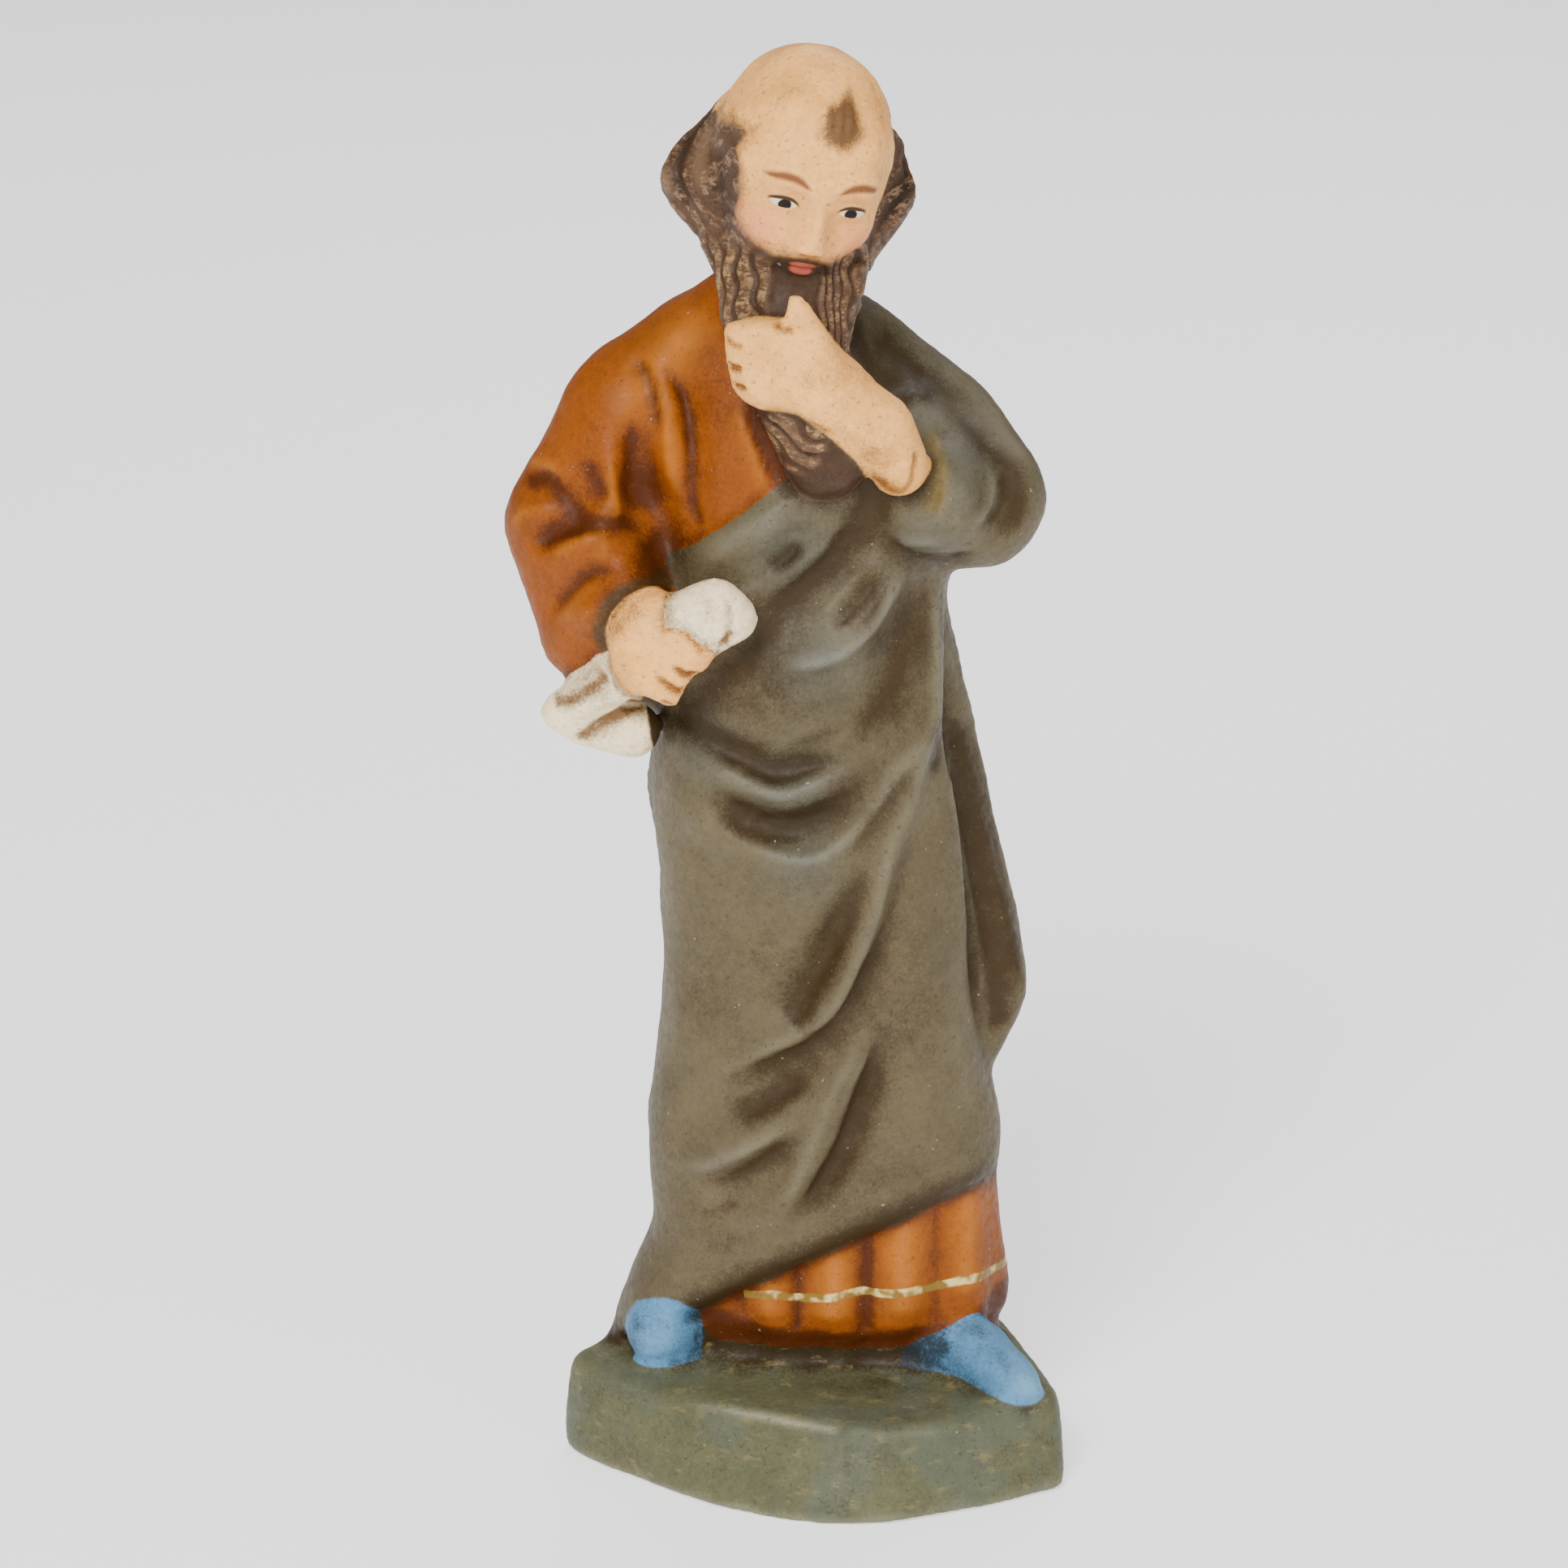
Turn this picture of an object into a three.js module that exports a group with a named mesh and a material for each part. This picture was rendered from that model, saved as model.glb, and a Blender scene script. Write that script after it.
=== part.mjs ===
// Nativity figure: a bald, bearded elder in a robe and a draped cloak. One hand is at the beard and
// the other holds a scroll. Figure, scroll and plinth are cast as one solid and painted.
//
// Millimetres. +Z is up and the figure faces -Y. The origin is in the plinth's underside, which is
// the plane z = 0. "Left" and "right" are as seen from the front: -X is left.
import * as THREE from 'three';

// Driving dimensions
const FIGURE = { left: -27, right: 23, front: -19, back: 17, top: 121.6 };
const PLINTH = { height: 7.2, slope: 0.07, edge: 1.1 };
const HEAD = { centre: [-0.9, -3, 111.2], nod: 16, turn: 14, tilt: 12 };
const BODY_AXIS = 4; // how far behind the origin the body's axis stands
const PLEATS = { count: 12, depth: 1.1, top: 27, bottom: 11.5 };
const SURFACE_STEP = 0.6; // the grid on which the forms are sampled
const TRIANGLES = 9800;
const PAINT = { color: 0x7a7263, roughness: 0.75, metalness: 0 };

const { clamp, lerp, degToRad, radToDeg, smoothstep } = THREE.MathUtils;

// Distance functions. Each returns a function of x, y and z that is negative inside the form.

// Two distances joined with a fillet of about k.
function softMin(a, b, k) {
  const h = Math.max(k - Math.abs(a - b), 0) / k;
  return Math.min(a, b) - h * h * k * 0.25;
}

function softMax(a, b, k) {
  return -softMin(-a, -b, k);
}

// Several forms joined with a fillet.
function join(fillet, forms) {
  return (x, y, z) => {
    let d = forms[0](x, y, z);
    for (let i = 1; i < forms.length; i++) d = softMin(d, forms[i](x, y, z), fillet);
    return d;
  };
}

// A rounded limb from a to b, whose radius goes from ra to rb.
function limb(a, b, ra, rb) {
  const [dx, dy, dz] = [b[0] - a[0], b[1] - a[1], b[2] - a[2]];
  const length2 = dx * dx + dy * dy + dz * dz;
  return (x, y, z) => {
    const [px, py, pz] = [x - a[0], y - a[1], z - a[2]];
    const t = clamp((px * dx + py * dy + pz * dz) / length2, 0, 1);
    return Math.hypot(px - t * dx, py - t * dy, pz - t * dz) - lerp(ra, rb, t);
  };
}

// A limb through several stations, each [x, y, z, radius].
function limbs(fillet, stations) {
  const forms = [];
  for (let i = 1; i < stations.length; i++) {
    const [a, b] = [stations[i - 1], stations[i]];
    forms.push(limb(a, b, a[3], b[3]));
  }
  return join(fillet, forms);
}

// An ellipsoid, turned by degrees about X, Y and Z.
function egg(centre, radii, turn = [0, 0, 0]) {
  const euler = new THREE.Euler(...turn.map(degToRad));
  const m = new THREE.Matrix4().makeRotationFromEuler(euler).invert().elements;
  const [rx, ry, rz] = radii;
  return (x, y, z) => {
    const [px, py, pz] = [x - centre[0], y - centre[1], z - centre[2]];
    const u = (m[0] * px + m[4] * py + m[8] * pz) / rx;
    const v = (m[1] * px + m[5] * py + m[9] * pz) / ry;
    const w = (m[2] * px + m[6] * py + m[10] * pz) / rz;
    const k0 = Math.hypot(u, v, w);
    const k1 = Math.hypot(u / rx, v / ry, w / rz);
    return k1 < 1e-9 ? -Math.min(rx, ry, rz) : (k0 * (k0 - 1)) / k1;
  };
}

// An upright body of oval section. Each station is [z, centre x, centre y, half width, half depth].
function column(stations, squareness = 2.4) {
  const heights = stations.map((s) => s[0]);
  const middles = new THREE.CatmullRomCurve3(stations.map((s) => new THREE.Vector3(s[1], s[2], 0)));
  const halves = new THREE.CatmullRomCurve3(stations.map((s) => new THREE.Vector3(s[3], s[4], 0)));
  const [low, high] = [heights[0], heights[heights.length - 1]];
  const steps = 200;
  const table = [];
  for (let i = 0; i <= steps; i++) {
    const z = lerp(low, high, i / steps);
    let s = 0;
    while (s < heights.length - 2 && heights[s + 1] < z) s++;
    const t = (s + (z - heights[s]) / (heights[s + 1] - heights[s])) / (heights.length - 1);
    const middle = middles.getPoint(t);
    const half = halves.getPoint(t);
    table.push([middle.x, middle.y, half.x, half.y]);
  }
  return (x, y, z) => {
    const at = clamp((z - low) / (high - low), 0, 1) * steps;
    const i = Math.min(Math.floor(at), steps - 1);
    const [a, b] = [table[i], table[i + 1]];
    const t = at - i;
    const dx = Math.abs(x - lerp(a[0], b[0], t));
    const dy = Math.abs(y - lerp(a[1], b[1], t));
    const u = dx / lerp(a[2], b[2], t);
    const v = dy / lerp(a[3], b[3], t);
    const q = (u ** squareness + v ** squareness) ** (1 / squareness);
    const side = q < 1e-6 ? -lerp(a[3], b[3], t) : (Math.hypot(dx, dy) * (q - 1)) / q;
    return Math.max(side, z - high, low - z);
  };
}

// A panel that hangs in the XZ plane: a closed outline between two depths, with round edges.
function panel(outline, front, back, edge) {
  const count = outline.length;
  return (x, y, z) => {
    let nearest = Infinity;
    let inside = false;
    for (let i = 0, j = count - 1; i < count; j = i++) {
      const [ax, az] = outline[i];
      const [bx, bz] = outline[j];
      const [ex, ez] = [bx - ax, bz - az];
      const [wx, wz] = [x - ax, z - az];
      const t = clamp((wx * ex + wz * ez) / (ex * ex + ez * ez), 0, 1);
      nearest = Math.min(nearest, Math.hypot(wx - t * ex, wz - t * ez));
      if (az > z !== bz > z && x < ((bx - ax) * (z - az)) / (bz - az) + ax) inside = !inside;
    }
    const flat = (inside ? -nearest : nearest) + edge;
    const deep = Math.abs(y - (front + back) / 2) - (back - front) / 2 + edge;
    return Math.min(Math.max(flat, deep), 0) + Math.hypot(Math.max(flat, 0), Math.max(deep, 0)) - edge;
  };
}

// The forms of the figure

// A low rock with cut sides. Each side is [direction in plan in degrees, distance, lean inwards].
function plinth() {
  const sides = [
    [201, 18.6, 0.1],
    [225, 14.3, 0.9],
    [243, 14.5, 4.2],
    [262, 15.5, 3.3],
    [290, 16.7, 2.3],
    [303, 17.7, 2],
    [0, 20.9, 0.3],
    [17, 19.4, 0.8],
    [55, 19, 1],
    [95, 15.2, 0.8],
    [142, 19, 0.8],
  ].map(([degrees, distance, lean]) => {
    const a = degToRad(degrees);
    return { nx: Math.cos(a), ny: Math.sin(a), distance, lean: lean / PLINTH.height };
  });
  const mound = egg([1.4, 7.5, 5], [17.6, 11, 4.8]);
  return (x, y, z) => {
    let d = softMin(z - PLINTH.height - PLINTH.slope * (y + 14), mound(x, y, z), 3);
    for (const { nx, ny, distance, lean } of sides) {
      const side = (nx * x + ny * y - distance + lean * z) / Math.hypot(1, lean);
      d = softMax(d, side, PLINTH.edge);
    }
    return d;
  };
}

function shoes() {
  const left = limbs(0.6, [
    [-12.2, 7, 9.8, 3],
    [-11.3, 2.4, 10.6, 2.9],
    [-12.9, 0.5, 11.1, 2.8],
  ]);
  const right = limbs(0.6, [
    [7.6, 0.4, 9.6, 1.6],
    [11.6, -0.4, 10, 2.3],
    [13.8, -1.8, 10.2, 2.5],
    [17.1, -6.2, 8.7, 2],
  ]);
  return join(0.5, [left, right]);
}

// The robe's skirt, in pleats that open towards the hem.
function skirt() {
  const shape = column([
    [7, 2.4, 6, 12.6, 7],
    [11, 2.4, 6, 13, 7.8],
    [12.4, 2.4, 6, 13.9, 9],
    [14, 2.3, 6, 13.9, 9.1],
    [20, 1.8, 5.6, 13.7, 9],
    [30, 1.2, 5, 13, 8.6],
  ]);
  const valley = 13; // degrees from the front to one of the valleys
  return (x, y, z) => {
    const turns = (radToDeg(Math.atan2(x - 2.4, 6 - y)) - valley) / 360;
    const wave = Math.abs(Math.sin(Math.PI * PLEATS.count * turns)) - 0.75;
    const open = clamp((PLEATS.top - z) / (PLEATS.top - PLEATS.bottom), 0, 1);
    return shape(x, y, z) - wave * PLEATS.depth * open;
  };
}

// The robe above the waist: chest, shoulder and the wide sleeve at the left.
function bodice() {
  return join(2, [
    column([
      [64, -1.4, 3.4, 10.6, 8.2],
      [78, -1.2, 3, 11, 8.8],
      [86, -1.6, 2.8, 11.4, 8.8],
      [93, -2, 3, 9.5, 7.6],
      [98, -2.4, 2.6, 6, 5.8],
      [102.5, -2, 1.4, 4.4, 4.8],
    ]),
    limbs(1.2, [
      [-4.4, 3.4, 96.6, 4.8],
      [-9.6, 3.3, 93.4, 4.9],
      [-14.4, 3.2, 88.8, 5.8],
      [-18.8, 2.2, 79.8, 6.1],
      [-18.2, -0.8, 71.6, 4.1],
    ]),
    limb([-17.6, 0.4, 79], [-15.6, -4, 75], 5, 4),
    limb([-13.4, 2.6, 80], [-13.4, 1.8, 67.4], 3.4, 2.8),
  ]);
}

// The heights of the cloak's hem and of its edge across the chest and the back.
const hemHeight = (x, y) => 19.3 + 0.47 * x - 0.32 * (y + 4);
const chestEdge = (x, y) => 87.4 + 0.88 * x + 0.25 * (y + 6);

function cloak() {
  const wrap = column([
    [7, 0.4, 6, 18, 9.6],
    [14, 0.2, 5.4, 15.8, 9.8],
    [20, 1, 5, 14.4, 10],
    [28, 0.9, 4.6, 14.7, 10.2],
    [35, 0.65, 4.4, 13.6, 10.2],
    [42, 0.6, 4.2, 13, 10.2],
    [50, 0.1, 4, 12.9, 10.4],
    [58, -0.8, 3.8, 12.5, 10.6],
    [66, -1.4, 3.4, 11.7, 10.6],
    [74, -1.1, 3, 11.8, 10.2],
    [82, -0.6, 2.8, 12, 9.9],
    [92, -0.4, 3, 11, 8.6],
  ]);
  const hanging = panel(
    [
      [4, 79], [9.7, 77], [10.8, 72], [11.8, 65.5], [13.2, 58.5], [14.9, 51], [16.7, 44.5],
      [17.9, 40], [17.3, 37.6], [14.9, 33.4], [9, 33], [4, 50],
    ],
    2.2, 9.6, 1.8,
  );
  const shoulder = join(1.5, [
    limbs(1.2, [
      [2.6, 4.4, 94.1, 4.5],
      [9.6, 3.4, 86.7, 5.7],
      [12.8, 1, 82.5, 5.7],
      [9.4, -3.4, 83.2, 5],
    ]),
    limb([3, 6, 88], [6, 6, 76], 6, 5),
  ]);
  const opening = egg([8.2, -10.4, 85.4], [3.4, 4, 4.4], [0, -35, 0]);
  return (x, y, z) => {
    let d = softMax(wrap(x, y, z), hemHeight(x, y) - z, 1.2);
    d = softMax(d, z - chestEdge(x, y), 1);
    d = softMin(d, shoulder(x, y, z), 1.6);
    d = softMin(d, hanging(x, y, z), 0.7);
    return softMax(d, -opening(x, y, z), 1);
  };
}

// The bare forearm at the right, with the hand closed at the beard and the thumb up.
function chinArm() {
  const fingers = [
    [-6.2, 98.2, 1.35],
    [-6.1, 96.3, 1.15],
    [-5.8, 94.7, 1.1],
    [-5.3, 93.5, 1.05],
  ].map(([x, z, radius]) => limb([x, -9.8, z], [x + 4, -10.8, z - 0.1], radius, radius + 0.1));
  return join(0.6, [
    limbs(1, [
      [6.8, -7.8, 87, 2.4],
      [4.9, -8.9, 90.4, 2.8],
      [1.5, -10, 93.5, 2.9],
      [-0.6, -10.2, 95.3, 2.9],
    ]),
    egg([-2.2, -10, 95.6], [3.9, 2.2, 3.4]),
    limbs(0.4, [
      [0.2, -10.4, 97, 1.6],
      [-0.5, -10.9, 98.6, 1.3],
      [-1.3, -11, 100.4, 1],
      [-1.7, -11, 101.4, 0.85],
    ]),
    ...fingers,
  ]);
}

// The fist at the left. Its fingers lie side by side over the scroll.
function fist() {
  const fingers = [
    [[-11.3, -10, 73.2], [-9.2, -10.5, 71.8], 1.2],
    [[-12.4, -9.9, 71.4], [-10.7, -10.3, 70.1], 1],
    [[-13.4, -9.5, 70], [-11.4, -9.9, 68.5], 1.05],
  ].map(([knuckle, tip, radius]) => limb(knuckle, tip, radius + 0.1, radius));
  return join(0.45, [
    egg([-13.2, -8.2, 72.6], [3, 2.7, 4.5], [0, 12, 0]),
    limb([-14.8, -5.4, 74.2], [-13.2, -7.4, 73.6], 2.7, 3),
    ...fingers,
  ]);
}

// Two rolls of paper side by side, through the fist.
function scroll() {
  return join(0.5, [
    limb([-20.4, -3.6, 65.7], [-13, -8, 71.2], 1.9, 2),
    limb([-18.7, -3, 64.4], [-14.8, -3.6, 64.3], 1.8, 2.6),
    join(1.4, [
      limb([-12, -8.4, 74.2], [-7.8, -9.2, 76.5], 1.9, 2),
      limb([-10.4, -8.6, 72.8], [-6.4, -9.2, 74.9], 1.9, 2.1),
    ]),
  ]);
}

// The head is made upright about the middle of the skull, then nodded, turned and tilted.
function head() {
  const pose = new THREE.Matrix4()
    .makeTranslation(...HEAD.centre)
    .multiply(new THREE.Matrix4().makeRotationY(degToRad(HEAD.tilt)))
    .multiply(new THREE.Matrix4().makeRotationZ(degToRad(HEAD.turn)))
    .multiply(new THREE.Matrix4().makeRotationX(degToRad(HEAD.nod)));
  const m = pose.invert().elements;
  const skull = join(1.6, [
    egg([0, 0.6, 0.4], [7.1, 8.4, 8.4]),
    egg([0, -2.6, -4], [5.5, 5, 5.7]),
    limb([-3, -6.3, 1.5], [3, -6.3, 1.5], 1.3, 1.3),
    egg([-3.4, -5.4, -2.9], [1.9, 1.8, 1.8]),
    egg([3.4, -5.4, -2.9], [1.9, 1.8, 1.8]),
  ]);
  const details = join(0.5, [
    limb([0, -7.3, 0.6], [0, -8.8, -3.2], 0.7, 0.95),
    limb([-0.9, -8, -3.6], [0.9, -8, -3.6], 0.7, 0.7),
    egg([-2.8, -6.5, -0.4], [1.3, 1.1, 0.85]),
    egg([2.8, -6.5, -0.4], [1.3, 1.1, 0.85]),
    limb([-1.1, -7.2, -5.3], [1.1, -7.2, -5.3], 0.65, 0.65),
    limb([-0.8, -7.1, -6.2], [0.8, -7.1, -6.2], 0.75, 0.75),
    limbs(0.6, [
      [-3.2, -6.3, -6.2, 0.5],
      [-2, -7.2, -5.1, 0.8],
      [0, -7.7, -4.6, 0.6],
      [2, -7.2, -5.1, 0.8],
      [3.2, -6.3, -6.2, 0.5],
    ]),
  ]);
  const sockets = [-2.8, 2.8].map((side) => egg([side, -8.6, -0.4], [1.9, 1.9, 1.15]));
  return (x, y, z) => {
    const u = m[0] * x + m[4] * y + m[8] * z + m[12];
    const v = m[1] * x + m[5] * y + m[9] * z + m[13];
    const w = m[2] * x + m[6] * y + m[10] * z + m[14];
    let d = skull(u, v, w);
    for (const socket of sockets) d = softMax(d, -socket(u, v, w), 0.8);
    return softMin(d, details(u, v, w), 0.6);
  };
}

// A wreath of hair round the bald crown, and a full beard down to the chest.
function hairAndBeard() {
  return join(1.4, [
    limbs(1.5, [
      [-5.8, 1, 113.4, 2.6],
      [-8.4, 0.4, 108.6, 3.6],
      [-6, -1.4, 104, 2.6],
      [-4.6, -4.4, 100.6, 2.6],
    ]),
    limbs(1.5, [
      [4.6, 1.6, 110.4, 2.8],
      [4.7, 1.2, 107.2, 3.1],
      [2.4, 0, 103.2, 2.5],
      [0.4, -4.6, 100.4, 2.6],
    ]),
    egg([-1.8, 3.6, 106.4], [8, 4.6, 6.8]),
    limb([-6.2, -2.4, 105.8], [-5.2, -5.2, 100.6], 1.2, 2.2),
    limb([3.4, -2.4, 105.4], [1.8, -5.4, 100.6], 1.1, 2),
    egg([-2.1, -5, 99], [5.3, 4.2, 4.6]),
    limb([-1.4, -7, 94.4], [0.8, -7.6, 87.6], 4.3, 3.2),
  ]);
}

// Everything together, with the fillet of each joint. The underside is cut flat.
function figure() {
  const forms = [
    [skirt(), 0.6], [shoes(), 0.4], [bodice(), 0.5], [cloak(), 0.5], [head(), 0.5],
    [hairAndBeard(), 0.5], [scroll(), 0.4], [fist(), 0.35], [chinArm(), 0.35],
  ];
  const base = plinth();
  return (x, y, z) => {
    let d = base(x, y, z);
    for (const [form, fillet] of forms) d = softMin(d, form(x, y, z), fillet);
    return Math.max(d, -z);
  };
}

// Carving

// A fold rises over the surface (or sinks, where its height is negative) and has a width and the
// points that it runs through. On the front and the back these are [x, z]. Around the body they are
// [degrees from the front, z].
const ridge = (height, width, ...points) => ({ on: 'front', height, width, points });
const valley = (depth, width, ...points) => ridge(-depth, width, ...points);
const placed = (on, folds) => folds.map((fold) => ({ ...fold, on }));

const ROBE_FOLDS = [
  valley(0.6, 0.9, [-15, 94.8], [-13.4, 93], [-12.8, 90.6], [-12.8, 87.6]),
  ridge(0.7, 1, [-13.4, 95], [-12, 91.8], [-11.6, 88.6], [-11.2, 85.2], [-10, 81]),
  valley(1, 1, [-12.6, 95], [-10.8, 92.6], [-9.8, 89.8], [-9.6, 86], [-9.2, 81]),
  valley(1.1, 1.5, [-14, 89.6], [-14, 85], [-13.8, 80.5]),
  ridge(0.9, 1.1, [-16.6, 88.6], [-16, 84], [-16.6, 81]),
  valley(0.8, 0.9, [-23.2, 84.4], [-20.8, 84.1], [-18.6, 82.4]),
  valley(1.2, 1, [-22.8, 79], [-21.4, 80.8], [-19.2, 82.2], [-17.6, 84.4]),
  ridge(0.8, 1.2, [-20.6, 79.4], [-18.5, 80.6], [-16.4, 79]),
  valley(0.7, 1, [-21.4, 73], [-19.6, 76.4], [-17.6, 77.6], [-15.6, 77.6]),
  ridge(0.5, 1.1, [-20.6, 70], [-19, 74], [-17, 75.6]),
];

const CHEST_FOLDS = [
  ridge(0.6, 1.1, [-0.6, 85], [-4.1, 81.6], [-6.9, 79.6], [-10.4, 76.8]),
  valley(1, 1, [0.6, 83.2], [-2.6, 79.8], [-6, 76.8]),
  valley(1.1, 1.3, [4.6, 85], [3.9, 80.6], [1.6, 77.6], [-1.4, 75.2], [-5.2, 71.6]),
  ridge(1, 1.2, [7.2, 80], [5.4, 76.4], [2.4, 73], [-1, 70.8], [-5, 69.2]),
  valley(1.1, 1.4, [8.4, 78], [7.4, 73], [5, 68.6], [0.6, 65.4]),
  ridge(1, 1, [9.7, 77], [10, 70], [9.7, 64.8], [7, 61.4], [4, 57.4], [0.4, 54]),
];

const SWAG_FOLDS = [
  valley(1, 1.2, [-11.2, 66.4], [-8.3, 63.8], [-4.9, 62.4], [-0.9, 62], [3, 63.2]),
  ridge(1, 1.3, [-11, 63.8], [-6.3, 60.6], [-3, 59.6], [0.6, 59.8], [4.4, 61.6]),
  valley(1.2, 1.3, [-10.2, 60.6], [-5.7, 57.4], [-2.3, 56.4], [1.4, 57], [5.4, 60.6]),
  ridge(1, 1.3, [-12, 60], [-8.3, 56.8], [-4.3, 54.4], [-0.6, 53.2], [2.4, 55]),
  ridge(1.2, 1.3, [9.6, 63.4], [7.1, 57], [5.3, 52], [3.8, 47], [2, 42.8], [-0.4, 39.8], [-8.4, 35.6]),
  valley(1.1, 1.2, [9.6, 58.6], [7.6, 53.3], [5.9, 48], [4.4, 43.6], [3, 40]),
  valley(1.1, 1.4, [3, 50.6], [0.8, 46.3], [-1.4, 42.8], [-4.4, 40.2]),
  valley(1, 1.2, [3, 39.6], [-0.8, 36.4], [-5, 33.6], [-10, 31.8]),
  ridge(0.8, 1.3, [2.6, 35.4], [-1.6, 32.2], [-5.6, 29.8], [-11, 27.6]),
  valley(1, 1.2, [1.4, 30.8], [-2.6, 27.4], [-6.6, 25], [-11.4, 23]),
  ridge(1, 1.2, [5.8, 41.6], [3.9, 37], [2, 33], [0.2, 29.4], [-2, 25], [-4, 21]),
  valley(1.2, 1.1, [6.6, 40.6], [5.4, 35.5], [3.2, 30.4], [0.8, 25.4], [-1.8, 20.6]),
  ridge(0.5, 1.2, [11.4, 62], [11.6, 57], [13, 50], [14, 43], [14.6, 34]),
  valley(0.6, 1, [12.2, 62], [13, 55], [14.8, 47], [15.4, 38]),
];

const SHOULDER_FOLDS = [
  valley(1, 1.1, [3.6, 98.4], [7.2, 94.6], [10.8, 91], [13.6, 88], [15.2, 85], [15, 81.6], [12.6, 79]),
  ridge(0.5, 1, [4.2, 95.8], [8, 92.6], [11.4, 89.6], [13, 86.4]),
  valley(0.6, 0.9, [12.6, 86.2], [13.4, 84], [12.4, 81.4], [10, 79.8]),
];

const LOCKS_BEHIND = [-7.4, -4.6, -1.8, 1, 3.8].map((x) =>
  valley(0.6, 0.8, [x, 113], [x + 0.9, 109], [x, 104.5], [x + 0.7, 101]),
);

const HAIR_LOCKS = [
  valley(0.5, 0.6, [-6, 105.2], [-6.3, 102], [-5.8, 99]),
  valley(0.5, 0.6, [-4.3, 104.6], [-4.6, 102], [-4.1, 99.4]),
  valley(0.5, 0.6, [1, 103.4], [1.2, 101], [1.5, 98.4]),
  valley(0.4, 0.6, [2.6, 105], [2.6, 102], [2.7, 98.6]),
  valley(0.4, 0.6, [-3.8, 92], [-1.6, 89], [1, 86.2]),
  valley(0.4, 0.6, [-1.6, 92], [0.4, 89], [2.4, 87]),
  valley(0.8, 0.8, [-8, 114], [-10.4, 110.8], [-10.4, 107.4], [-8.2, 104]),
  valley(0.6, 0.8, [5, 112.4], [6.5, 109.6], [6, 106.8], [4, 104.4]),
  ...placed('back', LOCKS_BEHIND),
];

// The sides and the back are plainer: long folds that hang from the shoulder and the hip.
const SIDE_FOLDS = [
  ...placed('around', [
    valley(1.1, 1.4, [84, 76], [81, 60], [80, 46], [82, 34]),
    ridge(0.6, 1.4, [102, 74], [102, 56], [100, 40]),
    valley(0.9, 1.6, [120, 84], [117, 62], [114, 36], [112, 22]),
    ridge(0.7, 1.5, [-92, 62], [-114, 50], [-136, 34]),
    valley(0.8, 1.5, [-88, 54], [-110, 42], [-130, 26]),
  ]),
  ...placed('back', [
    valley(1, 1.5, [5, 94], [0, 85], [-7, 76]),
    valley(1, 1.6, [8, 88], [3, 74], [-6, 63]),
    ridge(0.8, 1.6, [9, 80], [4, 66], [-3, 52], [-9, 43]),
    valley(1, 1.7, [9, 72], [6, 56], [0, 40], [-7, 27]),
    valley(0.9, 1.6, [10, 52], [8, 38], [4, 24], [2, 17]),
  ]),
];

const FOLDS = [ROBE_FOLDS, CHEST_FOLDS, SWAG_FOLDS, SHOULDER_FOLDS, HAIR_LOCKS, SIDE_FOLDS].flat();

// The surface

// Corners of a cell are numbered 0 to 7, one bit for each of x, y and z.
const AXES = [1, 2, 4];

// True where the marked corners hang together along the cell's edges.
function hangsTogether(mask) {
  let reached = mask & -mask;
  for (let before = 0; before !== reached; ) {
    before = reached;
    for (let c = 0; c < 8; c++) {
      if (!((before >> c) & 1)) continue;
      for (const axis of AXES) reached |= mask & (1 << (c ^ axis));
    }
  }
  return reached === mask;
}

// True where the surface passes through a cell as one plain sheet.
function isPlain(mask) {
  if (!hangsTogether(mask) || !hangsTogether(mask ^ 255)) return false;
  for (const [a, b] of [[1, 2], [2, 4], [1, 4]]) {
    for (const corner of [0, 7 ^ a ^ b]) {
      const [p, q, r, s] = [corner, corner ^ a, corner ^ a ^ b, corner ^ b].map((c) => (mask >> c) & 1);
      if (p === r && q === s && p !== q) return false;
    }
  }
  return true;
}

// Samples the solid on a grid. Blocks that the surface can't reach are filled in one go.
function sample(solid, box, step) {
  const block = 4;
  const count = [box.right - box.left, box.back - box.front, box.top].map(
    (size) => block * Math.ceil((size / step + 2) / block),
  );
  const origin = [box.left, box.front, -step / 2];
  const stride = [1, count[0], count[0] * count[1]];
  const values = new Float32Array(count[0] * count[1] * count[2]);
  const reach = block * step * 1.5;
  const middle = ((block - 1) / 2) * step;
  for (let k = 0; k < count[2]; k += block) {
    for (let j = 0; j < count[1]; j += block) {
      for (let i = 0; i < count[0]; i += block) {
        const [x, y, z] = [origin[0] + i * step, origin[1] + j * step, origin[2] + k * step];
        const far = solid(x + middle, y + middle, z + middle);
        for (let n = 0; n < block ** 3; n++) {
          const [a, b, c] = [n % block, Math.floor(n / block) % block, Math.floor(n / block ** 2)];
          const value = Math.abs(far) > reach ? far : solid(x + a * step, y + b * step, z + c * step);
          values[i + a + (j + b) * stride[1] + (k + c) * stride[2]] = value;
        }
      }
    }
  }
  return { values, count, origin, stride, step };
}

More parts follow.
